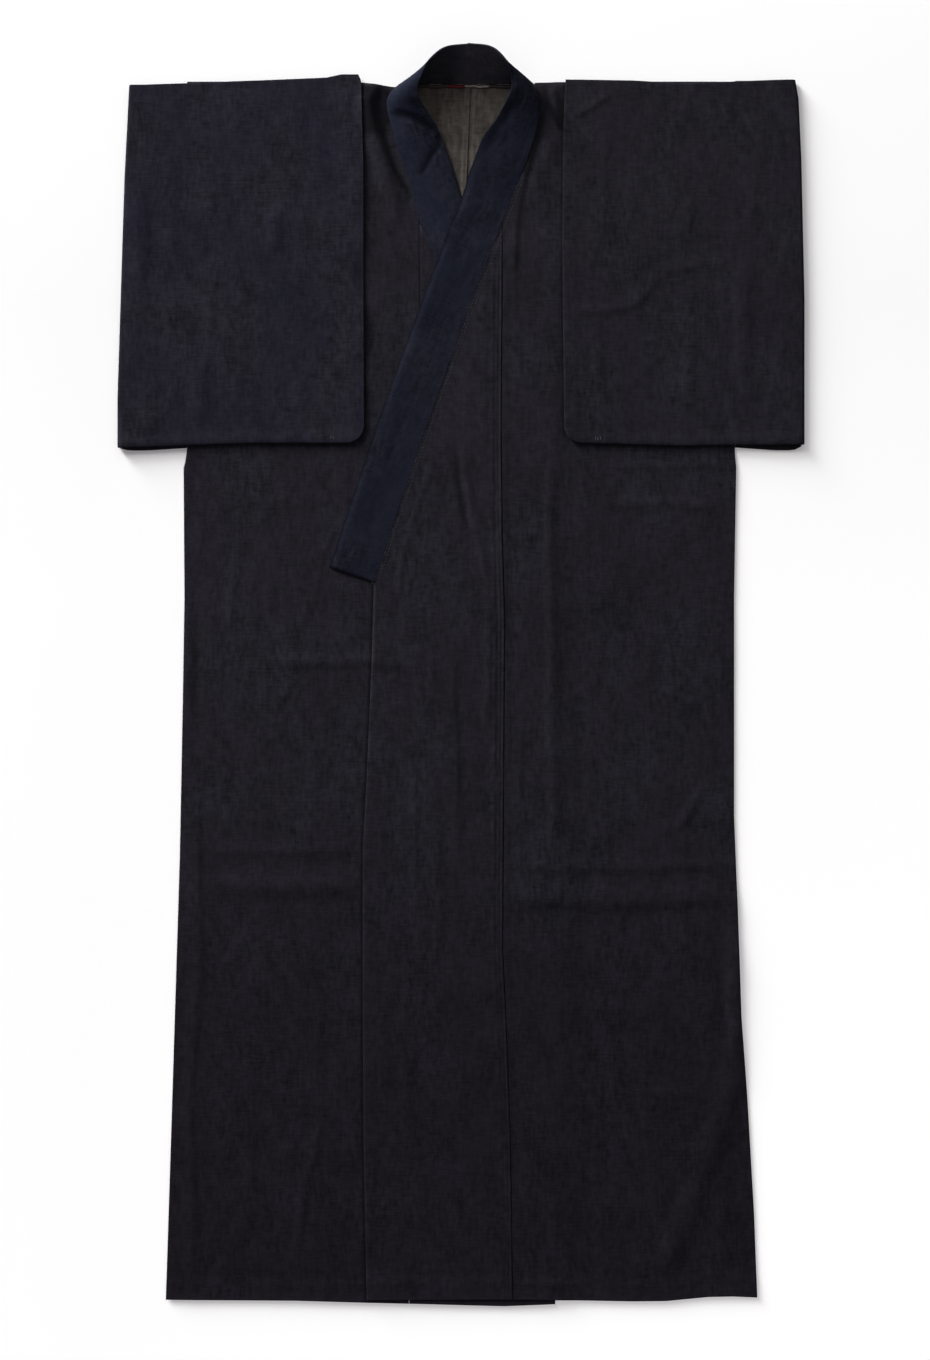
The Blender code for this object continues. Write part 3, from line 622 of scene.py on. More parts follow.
@dataclass(frozen=True)
class Surface:
    """Fine form of the cloth on a front, and the rubbing at its hem.

    Waves have a height, a length and how far they are drawn out along the cloth. seam_rows are the (place,
    height, reach) of the ridges beside the overlap's seam, which vary by seam_uneven.
    """

    slack: Triple = (0.00040, 0.085, 0.6)
    grain: Triple = (0.00006, 0.016, 0.5)
    hem_fold: Pair = (0.0255, 0.0225)
    hem_rise: float = 0.00060
    gather: Pair = (0.00022, 0.0075)
    gather_band: Four = (0.0, 0.010, 0.018, 0.036)
    edge_fold: float = 0.011
    edge_rise: float = 0.00050
    from_shoulder: float = -0.012
    seam_rows: Rows3 = ((-0.0115, 0.00065, 0.0022), (-0.0062, 0.00040, 0.0013), (-0.0018, 0.00035, 0.0011),
                        (0.0000, -0.00035, 0.0009), (0.0044, 0.00026, 0.0028), (0.0094, -0.00030, 0.0028))
    seam_uneven: Triple = (0.8, 0.9, 0.07)
    seam_weaker: Triple = (0.5, -0.92, -1.05)
    seam_from: Pair = (-0.183, -0.223)
    hem_rub: EdgeMark = EdgeMark(0.5)
    band_rub: EdgeMark = EdgeMark(0.2, 0.0, 0.011)

    def relief(self, side: SideCut, x: Array, y: Array, panel: bool) -> Array:
        """Fine form of a front's outer face.

        It sums creases, waves, a raised band above the hem with gathers along its top, the ridges that the
        folded allowance prints beside the overlap's seam, and the rounding of a free edge.

        Args:
            side: The front's side.
            x: Places across.
            y: Places along.
            panel: True for the overlap panel.

        Returns:
            The height to add at each place.
        """
        a = side.sign * x
        height = relief_of(side.fine, x, y)
        for step, (high, wave, drawn_out) in enumerate((self.slack, self.grain)):
            height = height + high * ripple(x, y * drawn_out, wave, side.seed + step)
        above_hem = y - look_up(side.hem, x)
        high, spacing = self.gather
        gathers = high * puckers(x, spacing, side.seed + 2) * window(self.gather_band, above_hem)
        height = height + self.hem_rise * ease(*self.hem_fold, above_hem) + gathers
        if side.over:
            mean, swing, wave = self.seam_uneven
            weaker, *weaker_from = self.seam_weaker
            uneven = mean + swing * ripple(0.0 * y, y, wave, side.seed + 3)
            uneven = uneven * (1 - weaker * ease(*weaker_from, y)) * ease(*self.seam_from, y)
            from_seam = a - look_up(PLAN.overlap_seam, y)
            for place, high, reach in self.seam_rows:
                height = height + high * uneven * bell_falloff(from_seam - place, reach)
        if panel:
            from_free = np.maximum(a - PLAN.panel_edge(y), 0.0)
            fold = rounded(from_free, self.edge_fold) - 1
            height = height + self.edge_rise * fold * (y < PLAN.collar_end)
        return height * ease(0.0, self.from_shoulder, y)

    def face(self, side: SideCut, nominal: Array, a: Array, panel: bool) -> Array:
        """A front's outer face on a grid.

        Args:
            side: The front's side.
            nominal: Each row's place between the shoulder fold and the hem.
            a: Each point's place across, (rows, columns).
            panel: True for the overlap panel.

        Returns:
            The points, (rows, columns, 3).
        """
        x = side.sign * a
        y = PLAN.down_front(side, nominal[:, None], x)
        z = PLAN.front_top(side, x, y) + self.relief(side, x, y, panel)
        return np.stack([x, y, z], axis=-1)

    def hem_wear(self, to_hem: Array) -> Array:
        """Rubbing on the hem's fold, and weaker rubbing over the band above it."""
        return self.hem_rub.at(np.maximum(to_hem, 0.0)) + self.band_rub.at(to_hem)


SURFACE = Surface()


# ---------------------------------------------------------------- meshes
# The share of the outer skin's rubbing, painted shade and painted highlights that the inner skin gets.
INSIDE_MARK_SHARE = 0.5


def placed(name: str, data: Any) -> Object:
    """A new object in the scene, with this mesh, lamp or camera."""
    made = bpy.data.objects.new(name, data)
    bpy.context.scene.collection.objects.link(made)
    return made


@dataclass
class Skins:
    """Both skins of a wall of cloth on one grid: points (rows, columns, 3), and what each point carries.

    keep marks the grid's cells that are cloth. Each point's marks are rubbing of folded edges above 0, in
    places a painted highlight, and painted shade below 0; on the tape they hold its pattern. across and along
    are the cloth's own coordinates in metres.
    """

    outer: Array
    inner: Array
    across: Array
    along: Array
    marks_and_painted_light: Array
    keep: Mask | None = None


def normals_of(points: Array, keep: Mask | None = None) -> Array:
    """Unit normals of a grid: the sum of the cross products of each kept cell's diagonals.

    Args:
        points: The grid, (rows, columns, 3).
        keep: The cells that count, or None for all.

    Returns:
        A normal for each point.
    """
    first = points[1:, 1:] - points[:-1, :-1]
    second = points[1:, :-1] - points[:-1, 1:]
    cell = np.cross(first, second)
    if keep is not None:
        cell = cell * keep[..., None]
    total = np.zeros(points.shape)
    for rows, columns in ((slice(None, -1), slice(None, -1)), (slice(1, None), slice(None, -1)),
                          (slice(None, -1), slice(1, None)), (slice(1, None), slice(1, None))):
        total[rows, columns] += cell
    length = np.linalg.norm(total, axis=2, keepdims=True)
    return total / np.maximum(length, 1e-12)


def wall_skins(outer: Array, thickness: float, share: Array, keep: Mask | None,
               facing: float) -> tuple[Array, Array]:
    """Both skins of a wall whose full outer face is given, thinned evenly from both sides.

    Args:
        outer: The full outer face.
        thickness: The full thickness.
        share: The share of it that is left at each point.
        keep: The cells that are cloth.
        facing: 1 where the grid's own normals face out, and -1 where they face in.

    Returns:
        The outer and the inner skin.
    """
    normal = normals_of(outer, keep) * facing
    half = thickness / 2
    middle = outer - normal * half
    reach = (half * share)[..., None]
    return middle + normal * reach, middle - normal * reach


def edge_loops(quads: Indices, count: int) -> Indices:
    """Directed edges that only one of these quads has.

    Args:
        quads: Faces, four points each.
        count: How many points there are.

    Returns:
        The edges, as (start, end) rows.
    """
    starts = quads.reshape(-1)
    ends = np.roll(quads, -1, axis=1).reshape(-1)
    alone = ~np.isin(starts * count + ends, ends * count + starts)
    return np.stack([starts[alone], ends[alone]], axis=1)


def fill_mesh(name: str, points: Array, quads: Indices, slots: Indices,
              cloth: Array, marks_and_painted_light: Array, finishes: Sequence[Material]) -> Object:
    """Puts whole arrays into a new object, moved to the frame's origin.

    Args:
        name: The object's name.
        points: Its points, (n, 3).
        quads: Its faces.
        slots: The material of each face.
        cloth: Each point's place in the cloth, the UV map "cloth".
        marks_and_painted_light: Each point's rubbing and painted highlight (above 0) and painted shade
            (below 0), stored as the point attribute of the same name.
        finishes: The materials.

    Returns:
        The object.
    """
    used, index = np.unique(quads, return_inverse=True)
    quads = index.reshape(quads.shape)
    points = points[used] + np.array(ORIGIN)
    mesh = bpy.data.meshes.new(name)
    mesh.vertices.add(len(points))
    mesh.vertices.foreach_set("co", points.astype(np.float32).ravel())
    mesh.loops.add(quads.size)
    mesh.loops.foreach_set("vertex_index", quads.astype(np.int32).ravel())
    mesh.polygons.add(len(quads))
    mesh.polygons.foreach_set("loop_start", np.arange(0, quads.size, 4, dtype=np.int32))
    mesh.update(calc_edges=True)
    for finish in finishes:
        mesh.materials.append(finish)
    mesh.polygons.foreach_set("material_index", slots.astype(np.int32))
    layer = mesh.uv_layers.new(name="cloth")
    layer.data.foreach_set("uv", cloth[used][quads.ravel()].astype(np.float32).ravel())
    rubbed_and_lit = mesh.attributes.new("marks_and_painted_light", "FLOAT", "POINT")
    rubbed_and_lit.data.foreach_set("value", marks_and_painted_light[used].astype(np.float32))
    mesh.shade_smooth()
    mesh.validate()
    return placed(name, mesh)


def closed_mesh(name: str, skins: Skins, quads: Indices, rim: Indices, inside: float,
                finishes: Sequence[Material]) -> Object:
    """One object of two skins and the rim between them.

    Args:
        name: The object's name.
        skins: Both skins, numbered in order.
        quads: The outer skin's faces.
        rim: The rim's faces, with the outer skin's points first.
        inside: The share of the outer skin's rubbing, painted shade and painted highlights that the inner one
            has.
        finishes: The finish of the outer skin and the rim, and of the inner skin.

    Returns:
        The object.
    """
    count = skins.marks_and_painted_light.size
    faces = np.concatenate([quads, quads[:, ::-1] + count, rim])
    slots = np.repeat([0, 1, 0], [len(quads), len(quads), len(rim)])
    points = np.concatenate([skins.outer.reshape(-1, 3), skins.inner.reshape(-1, 3)])
    cloth = np.stack([skins.across.ravel(), skins.along.ravel()], axis=1)
    marks_and_painted_light = skins.marks_and_painted_light.ravel()
    marks_and_painted_light = np.concatenate([marks_and_painted_light, marks_and_painted_light * inside])
    return fill_mesh(name, points, faces, slots, np.tile(cloth, (2, 1)), marks_and_painted_light, finishes)


def wall_object(name: str, skins: Skins, outward: bool, face: Material,
                reverse: Material) -> Object:
    """A closed wall of cloth: outer skin, inner skin and a rim along every edge.

    Args:
        name: The object's name.
        skins: Both skins on one grid.
        outward: True where the grid's own normals face out.
        face: The finish of the outer skin and the rim.
        reverse: The finish of the inner skin.

    Returns:
        The object.
    """
    rows, columns = skins.outer.shape[:2]
    number = np.arange(rows * columns).reshape(rows, columns)
    quads = np.stack([number[:-1, :-1], number[:-1, 1:], number[1:, 1:], number[1:, :-1]], axis=-1)
    quads = quads[skins.keep] if skins.keep is not None else quads.reshape(-1, 4)
    if not outward:
        quads = quads[:, ::-1]
    count = rows * columns
    rim = edge_loops(quads, count)
    rim = np.stack([rim[:, 1], rim[:, 0], rim[:, 0] + count, rim[:, 1] + count], axis=1)
    return closed_mesh(name, skins, quads, rim, INSIDE_MARK_SHARE, (face, reverse))


# ---------------------------------------------------------------- finishes
class Graph:
    """Short ways to build a node tree."""

    def __init__(self, tree: Tree) -> None:
        """Keeps the tree that the nodes go into."""
        self.tree = tree

    def fill(self, node: Node, inputs: dict[Any, Any]) -> None:
        """Gives a node's inputs values, or links them to other nodes' outputs.

        Args:
            node: The node.
            inputs: A value or an output for each input.
        """
        for key, value in inputs.items():
            if isinstance(value, Socket):
                self.tree.links.new(value, node.inputs[key])
            else:
                node.inputs[key].default_value = value

    def add(self, kind: str, inputs: dict[Any, Any] | None = None, **settings: Any) -> Node:
        """Adds a node.

        Args:
            kind: Its type.
            inputs: What its inputs get, as in fill.
            **settings: Its own properties.

        Returns:
            The node.
        """
        node = self.tree.nodes.new(kind)
        for key, value in settings.items():
            setattr(node, key, value)
        self.fill(node, inputs or {})
        return node

    def math(self, operation: str, a: Any, b: Any = 0.0, clamp: bool = False) -> Socket:
        """One sum on two values."""
        return self.add("ShaderNodeMath", {0: a, 1: b}, operation=operation, use_clamp=clamp).outputs[0]

    def total(self, *terms: tuple[Any, float]) -> Socket:
        """The sum of several values.

        Args:
            *terms: Each value with its weight.

        Returns:
            The sum.
        """
        found, *rest = [self.math("MULTIPLY", value, weight) for value, weight in terms]
        for part in rest:
            found = self.math("ADD", found, part)
        return found

    def times(self, a: Any, b: Any, operation: str = "MULTIPLY") -> Socket:
        """The product, or another sum, of two places or colours, part by part."""
        return self.add("ShaderNodeVectorMath", {0: a, 1: b}, operation=operation).outputs[0]

    def mix(self, factor: Any, a: Any, b: Any) -> Socket:
        """A colour between two others."""
        return self.add("ShaderNodeMix", {0: factor, 6: a, 7: b}, data_type="RGBA").outputs[2]

    def span(self, value: Any, low: float, high: float, start: float = 0.0,
             stop: float = 1.0) -> Socket:
        """Maps low..high to start..stop, held at both ends."""
        return self.add("ShaderNodeMapRange", {0: value, 1: low, 2: high, 3: start, 4: stop}).outputs[0]

    def part(self, place: Any, axis: int) -> Socket:
        """One coordinate of a place."""
        return self.add("ShaderNodeSeparateXYZ", {0: place}).outputs[axis]

    def noise(self, place: Any, size: Pair, detail: float = 2.0, rough: float = 0.5) -> Socket:
        """Noise of a size (across, along) in features to the metre."""
        given = {"Vector": self.times(place, (*size, 1.0)), "Scale": 1.0, "Detail": detail}
        return self.add("ShaderNodeTexNoise", {**given, "Roughness": rough}, noise_dimensions="2D").outputs[0]

    def bump(self, height: Any, strength: float) -> Socket:
        """Normals of a height in metres."""
        given = {"Strength": strength, "Distance": 1.0, "Height": height}
        return self.add("ShaderNodeBump", given).outputs[0]

    def cloth(self) -> tuple[Socket, Socket]:
        """The place on a piece's own cloth, and its rubbing, painted highlight and painted shade."""
        marks_and_painted_light = self.add("ShaderNodeAttribute", attribute_name="marks_and_painted_light").outputs["Fac"]
        return self.add("ShaderNodeUVMap", uv_map="cloth").outputs[0], marks_and_painted_light


def new_group(name: str, inputs: dict[str, float | None],
              outputs: Sequence[str]) -> tuple[Graph, Node, Node]:
    """An empty node group that puts out values.

    Args:
        name: Its name.
        inputs: The default of each value that goes in, or None for a place.
        outputs: The name of each output.

    Returns:
        Its graph, and its input and output nodes.
    """
    tree = bpy.data.node_groups.new(name, "ShaderNodeTree")
    for label, default in inputs.items():
        kind = "NodeSocketVector" if default is None else "NodeSocketFloat"
        socket = tree.interface.new_socket(label, in_out="INPUT", socket_type=kind)
        if default is not None:
            socket.default_value = default
    for label in outputs:
        tree.interface.new_socket(label, in_out="OUTPUT", socket_type="NodeSocketFloat")
    graph = Graph(tree)
    return graph, graph.add("NodeGroupInput"), graph.add("NodeGroupOutput")


def new_finish(name: str) -> tuple[Material, Graph, Node]:
    """A new material, its graph and its shader."""
    made = bpy.data.materials.new(name)
    made.use_nodes = True
    return made, Graph(made.node_tree), made.node_tree.nodes["Principled BSDF"]


@dataclass
class Weave:
    """Node groups that the cloths share. A noise's size is its features to the metre, (across, along)."""

    fine_warp: Pair = (640.0, 80.0)
    broad_warp: Pair = (250.0, 55.0)
    weft: Pair = (62.0, 420.0)
    small_cloud: Pair = (190.0, 95.0)
    middle_cloud: Pair = (66.0, 30.0)
    large_cloud: Pair = (20.0, 9.0)
    hue_cloud: Pair = (14.0, 8.0)
    patch: Pair = (170.0, 170.0)

    def __post_init__(self) -> None:
        """Builds each group once."""
        self.yarns = self.make_yarns()
        self.slubs = self.make_slubs()
        self.clouds = self.make_clouds()
        self.rub_and_highlight = self.make_rub_and_highlight()

    def make_yarns(self) -> Tree:
        """Twill: ribs as sines of the cloth's place, crossed by the twill's diagonal.

        Returns:
            The height of the yarns, and a mask of the weft's pale flecks.
        """
        g, given, out = new_group("yarns", {"Place": None, "Pitch": 0.0008}, ("Height", "Fleck"))
        across, along = (g.part(given.outputs["Place"], axis) for axis in (0, 1))
        turns = g.math("DIVIDE", 2 * np.pi, given.outputs["Pitch"])
        warp = g.math("SINE", g.math("MULTIPLY", across, turns))
        weft = g.math("SINE", g.math("MULTIPLY", along, turns))
        both = g.math("MULTIPLY", g.math("ADD", across, along), turns)
        twill = g.math("SINE", g.math("MULTIPLY", both, 0.3333))
        low = g.math("MULTIPLY", g.math("SUBTRACT", 0.4, twill), g.math("SUBTRACT", 1.0, warp))
        height = g.total((warp, 0.5), (twill, 0.5), (weft, 0.25))
        g.fill(out, {"Height": height, "Fleck": g.span(low, 0.8, 2.2)})
        return g.tree

    def make_slubs(self) -> Tree:
        """Thick and thin yarns: noise along the warp, and weaker noise along the weft.

        Returns:
            The slubs, from 0 to 1.
        """
        g, given, out = new_group("slubs", {"Place": None}, ("Slubs",))
        place = given.outputs["Place"]
        warp = g.total((g.noise(place, self.fine_warp), 0.5), (g.noise(place, self.broad_warp), 0.5))
        both = g.total((warp, 0.6), (g.noise(place, self.weft, 1.0), 0.4))
        g.fill(out, {"Slubs": g.span(both, 0.34, 0.66)})
        return g.tree

    def make_clouds(self) -> Tree:
        """Uneven dye: three sizes of soft noise for depth, and one for hue.

        Returns:
            Both masks.
        """
        g, given, out = new_group("uneven dye", {"Place": None}, ("Depth", "Hue"))
        place = given.outputs["Place"]
        depth = g.total((g.noise(place, self.small_cloud), 0.42), (g.noise(place, self.middle_cloud), 0.38),
                        (g.noise(place, self.large_cloud), 0.2))
        hue = g.noise(place, self.hue_cloud)
        g.fill(out, {"Depth": g.span(depth, 0.36, 0.64), "Hue": g.span(hue, 0.35, 0.65)})
        return g.tree

    def make_rub_and_highlight(self) -> Tree:
        """Rubbed edges and painted highlights: the marks above 0, broken up along the edge by noise.

        Returns:
            A mask.
        """
        g, given, out = new_group("rubbed edge", {"Place": None, "Wear": 0.0}, ("Mask",))
        patchy = g.span(g.noise(given.outputs["Place"], self.patch, 2.0, 0.6), 0.3, 0.6, 0.35, 1.0)
        g.fill(out, {"Mask": g.math("MULTIPLY", given.outputs["Wear"], patchy, True)})
        return g.tree


@dataclass(frozen=True)
class Denim:
    """A woven cotton finish. Colours are linear, and strengths are shares.

    deep and pale are the ends of the uneven dye, cast a hue that shows in clouds, and rubbed_and_lit the
    colour that edges pale to by rubbing and of painted highlights. Where the marks are below 0 the colour is
    darkened as painted shade: painted_shade is how much of it shows, and painted_shade_tone how dark it is.
    Between low's two places down the cloth the colour is multiplied by low_tint, which is painted light on
    some finishes and painted shade on others.
    """

    name: str
    deep: Colour
    pale: Colour
    cast: Colour
    rubbed_and_lit: Colour
    slub: float = 0.44
    cloud: float = 0.51
    hue: float = 0.4
    fleck: float = 0.05
    rub_and_highlight: float = 0.8
    painted_shade: float = 0.8
    painted_shade_tone: float = 0.35
    pitch: float = 0.0008
    yarn_height: float = 0.00006
    slub_height: float = 0.00022
    bump: float = 0.22
    rough: Pair = (0.92, 0.84)
    gloss: float = 0.06
    shift: float = 0.0
    low: Pair = (0.86, 1.12)
    low_tint: Colour = (1.0, 1.0, 1.0, 1.0)

    def make(self, weave: Weave) -> Material:
        """Builds the material on the piece's own UV map, and its point attribute of rubbing and painted
        light.

        Args:
            weave: The shared node groups.

        Returns:
            The material.
        """
        made, g, shader = new_finish(self.name)
        uv, marks_and_painted_light = g.cloth()
        place = g.times(uv, (self.shift, self.shift, 0.0), "ADD")

        def group(tree: Tree, **given: Any) -> Sequence[Socket]:
            """The outputs of one of the shared groups."""
            return list(g.add("ShaderNodeGroup", {"Place": place, **given}, node_tree=tree).outputs)

        yarns, flecks = group(weave.yarns, Pitch=self.pitch)
        (slubs,) = group(weave.slubs)
        depth, hue = group(weave.clouds)
        (rub_and_highlight,) = group(weave.rub_and_highlight, Wear=marks_and_painted_light)
        amount = g.total((slubs, self.slub), (depth, self.cloud), (flecks, self.fleck))
        amount = g.math("SUBTRACT", amount, (self.slub + self.cloud - 1) / 2, True)
        colour = g.mix(amount, self.deep, self.pale)
        colour = g.mix(g.math("MULTIPLY", hue, self.hue), colour, self.cast)
        # Paler by rubbing, and where a highlight is painted along an edge or ridge that faces the light.
        colour = g.mix(g.math("MULTIPLY", rub_and_highlight, self.rub_and_highlight), colour, self.rubbed_and_lit)
        # low_tint multiplies the colour down the cloth: painted light on some finishes, painted shade on
        # others.
        tint = g.mix(g.span(g.part(uv, 1), *self.low), (1.0, 1.0, 1.0, 1.0), self.low_tint)
        # Painted shade: darker where the marks are below 0, in place of shade beside edges, in crevices and
        # folds.
        painted_shade = g.math("MULTIPLY", g.span(marks_and_painted_light, 0.0, -1.0), self.painted_shade)
        darkest = tuple(share * self.painted_shade_tone for share in self.deep[:3]) + (1.0,)
        height = g.total((yarns, self.yarn_height), (slubs, self.slub_height))
        g.fill(shader, {"Base Color": g.mix(painted_shade, g.times(colour, tint), darkest),
                        "Roughness": g.span(slubs, 0.0, 1.0, *self.rough), "Specular IOR Level": self.gloss,
                        "Normal": g.bump(height, self.bump)})
        made.diffuse_color = self.pale
        return made


@dataclass(frozen=True)
class Thread:
    """A sewing thread's finish, between two colours."""

    name: str
    colour: Colour
    other: Colour
    size: Pair = (420.0, 420.0)

    def make(self) -> Material:
        """Builds the material: two colours mixed by noise, so that stitches differ.

        Returns:
            The material.
        """
        made, g, shader = new_finish(self.name)
        place = g.add("ShaderNodeTexCoord").outputs["Object"]
        mask = g.span(g.noise(place, self.size, 1.0), 0.35, 0.65)
        g.fill(shader, {"Base Color": g.mix(mask, self.colour, self.other), "Roughness": 0.85,
                        "Specular IOR Level": 0.2})
        made.diffuse_color = self.colour
        return made


@dataclass(frozen=True)
class Selvedge:
    """The stay tape's finish: pale ribs on dark edges, with a red stretch and a white one along it."""

    name: str = "selvedge_tape"
    border: Colour = (0.012, 0.010, 0.010, 1)
    ground: Colour = (0.045, 0.040, 0.036, 1)
    red: Colour = (0.14, 0.013, 0.015, 1)
    white: Colour = (0.26, 0.24, 0.21, 1)
    red_start: Pair = (-0.0155, -0.0148)
    red_stop: Pair = (0.0042, 0.0050)
    white_stop: Pair = (0.030, 0.034)
    rib: Pair = (0.0011, 0.0001)

    def make(self) -> Material:
        """Builds the material on the tape's own UV map, and its point attribute, which holds the tape's
        pattern.

        Returns:
            The material.
        """
        made, g, shader = new_finish(self.name)
        place, marks_and_painted_light = g.cloth()
        x = g.part(place, 0)
        pitch, height = self.rib
        ribs = g.math("MULTIPLY", g.math("SINE", g.math("MULTIPLY", x, 2 * np.pi / pitch)), height)
        red = g.math("MULTIPLY", g.span(x, *self.red_start), g.span(x, *self.red_stop, 1.0, 0.0))
        white = g.math("MULTIPLY", g.span(x, *self.red_stop), g.span(x, *self.white_stop, 1.0, 0.0))
        core = g.mix(white, g.mix(red, self.ground, self.red), self.white)
        g.fill(shader, {"Base Color": g.mix(marks_and_painted_light, self.border, core), "Normal": g.bump(ribs, 0.5),
                        "Roughness": 0.85, "Specular IOR Level": 0.15})
        return made


@dataclass(frozen=True)
class Paper:
    """The floor's matt white, evened out: paler and lit from below on the side away from the light."""

    name: str = "floor_paper"
    near: Colour = (0.87, 0.87, 0.868, 1)
    far: Colour = (0.80, 0.80, 0.798, 1)
    tone_span: Pair = (0.1, 0.8)
    glow_down: Four = (0.45, -0.8, 0.02, 0.26)
    glow_across: Four = (-0.45, 0.55, 0.0, 0.12)

    def make(self) -> Material:
        """Builds the material on the floor's own place.

        Returns:
            The material.
        """
        made, g, shader = new_finish(self.name)
        place = g.add("ShaderNodeTexCoord").outputs["Object"]
        x, y = (g.part(place, axis) for axis in (0, 1))
        tone = g.mix(g.span(y, *self.tone_span), self.near, self.far)
        glow = g.math("ADD", g.span(y, *self.glow_down), g.span(x, *self.glow_across))
        g.fill(shader, {"Base Color": tone, "Emission Color": g.mix(glow, (0, 0, 0, 1), (1, 1, 1, 1)),
                        "Emission Strength": 1.0, "Roughness": 0.9, "Specular IOR Level": 0.1})
        return made


class Tone(Enum):
    """The finishes of the robe and of the floor."""

    # FACE's low_tint darkens the fronts towards the hem: painted shade for the light falling off, with a
    # redder hue.
    FACE = Denim("denim_face", (0.0042, 0.0041, 0.0062, 1), (0.0197, 0.0189, 0.0257, 1),
                 (0.0116, 0.0093, 0.0134, 1), (0.030, 0.029, 0.038, 1), low_tint=(0.81, 0.75, 0.79, 1))
    # On both sleeves low_tint makes the lower part paler: painted light that evens out the light falling off.
    SLEEVE_RIGHT = Denim("denim_sleeve_right", (0.0038, 0.0036, 0.0060, 1), (0.0186, 0.0174, 0.0256, 1),
                         (0.0092, 0.0094, 0.0186, 1), (0.030, 0.029, 0.040, 1), shift=3.1,
                         low=(-0.20, -0.38), low_tint=(1.07, 1.06, 1.03, 1))
    SLEEVE_LEFT = Denim("denim_sleeve_left", (0.0040, 0.0038, 0.0058, 1), (0.0182, 0.0172, 0.0230, 1),
                        (0.0106, 0.0092, 0.0136, 1), (0.030, 0.029, 0.038, 1), shift=2.2,
                        low=(-0.20, -0.38), low_tint=(1.06, 1.07, 1.08, 1))
    # low_tint pales the strip from the over half's top round the nape and the under half: painted light,
    # partly lifting the shade that the nape casts on the over half.
    COLLAR = Denim("denim_collar", (0.0025, 0.0030, 0.0062, 1), (0.0125, 0.0137, 0.0212, 1),
                   (0.0060, 0.0076, 0.0166, 1), (0.020, 0.022, 0.032, 1), slub=0.52, cloud=0.60, hue=0.6,
                   shift=5.7, low=(0.50, 0.60), low_tint=(1.25, 1.26, 1.26, 1))
    # low_tint darkens the inside from the nape's middle into the wearer's right half: painted shade on the
    # shadowed side.
    COLLAR_INSIDE = Denim("denim_collar_inside", (0.0165, 0.0160, 0.0200, 1), (0.0470, 0.0445, 0.0510, 1),
                          (0.0270, 0.0250, 0.0350, 1), (0.060, 0.058, 0.064, 1), hue=0.5, shift=4.6,
                          low=(0.693, 0.712), low_tint=(0.50, 0.50, 0.52, 1))
    REVERSE = Denim("denim_reverse", (0.027, 0.0235, 0.0205, 1), (0.092, 0.081, 0.071, 1),
                    (0.055, 0.049, 0.041, 1), (0.20, 0.185, 0.165, 1), slub=0.5, fleck=0.2, hue=0.3,
                    shift=1.3, low=(-0.045, -0.115), low_tint=(0.78, 0.78, 0.78, 1))
    TAPE = Selvedge()
    SEAM_THREAD = Thread("seam_thread", (0.018, 0.018, 0.024, 1), (0.034, 0.034, 0.042, 1))
    BAR_THREAD = Thread("bar_thread", (0.045, 0.044, 0.050, 1), (0.08, 0.078, 0.084, 1))
    PAPER = Paper()


Finishes = dict[Tone, Material]


def make_finishes() -> Finishes:
    """Builds every material once."""
    weave = Weave()
    return {tone: tone.value.make(weave) if isinstance(tone.value, Denim) else tone.value.make()
            for tone in Tone}


# ---------------------------------------------------------------- pieces
def dressed(piece: Object, node: str) -> Object:
    """Hides the solid that a piece stands for, and returns the piece."""
    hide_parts(node)
    return piece


def denim_wall(name: str, node: str, side: SideCut, skins: Skins, finishes: Finishes) -> Object:
    """A side's piece of denim, whose name and solid start with these words and end with the side's."""
    made = wall_object(name + side.name, skins, side.sign > 0, finishes[Tone.FACE], finishes[Tone.REVERSE])
    return dressed(made, node + side.name)


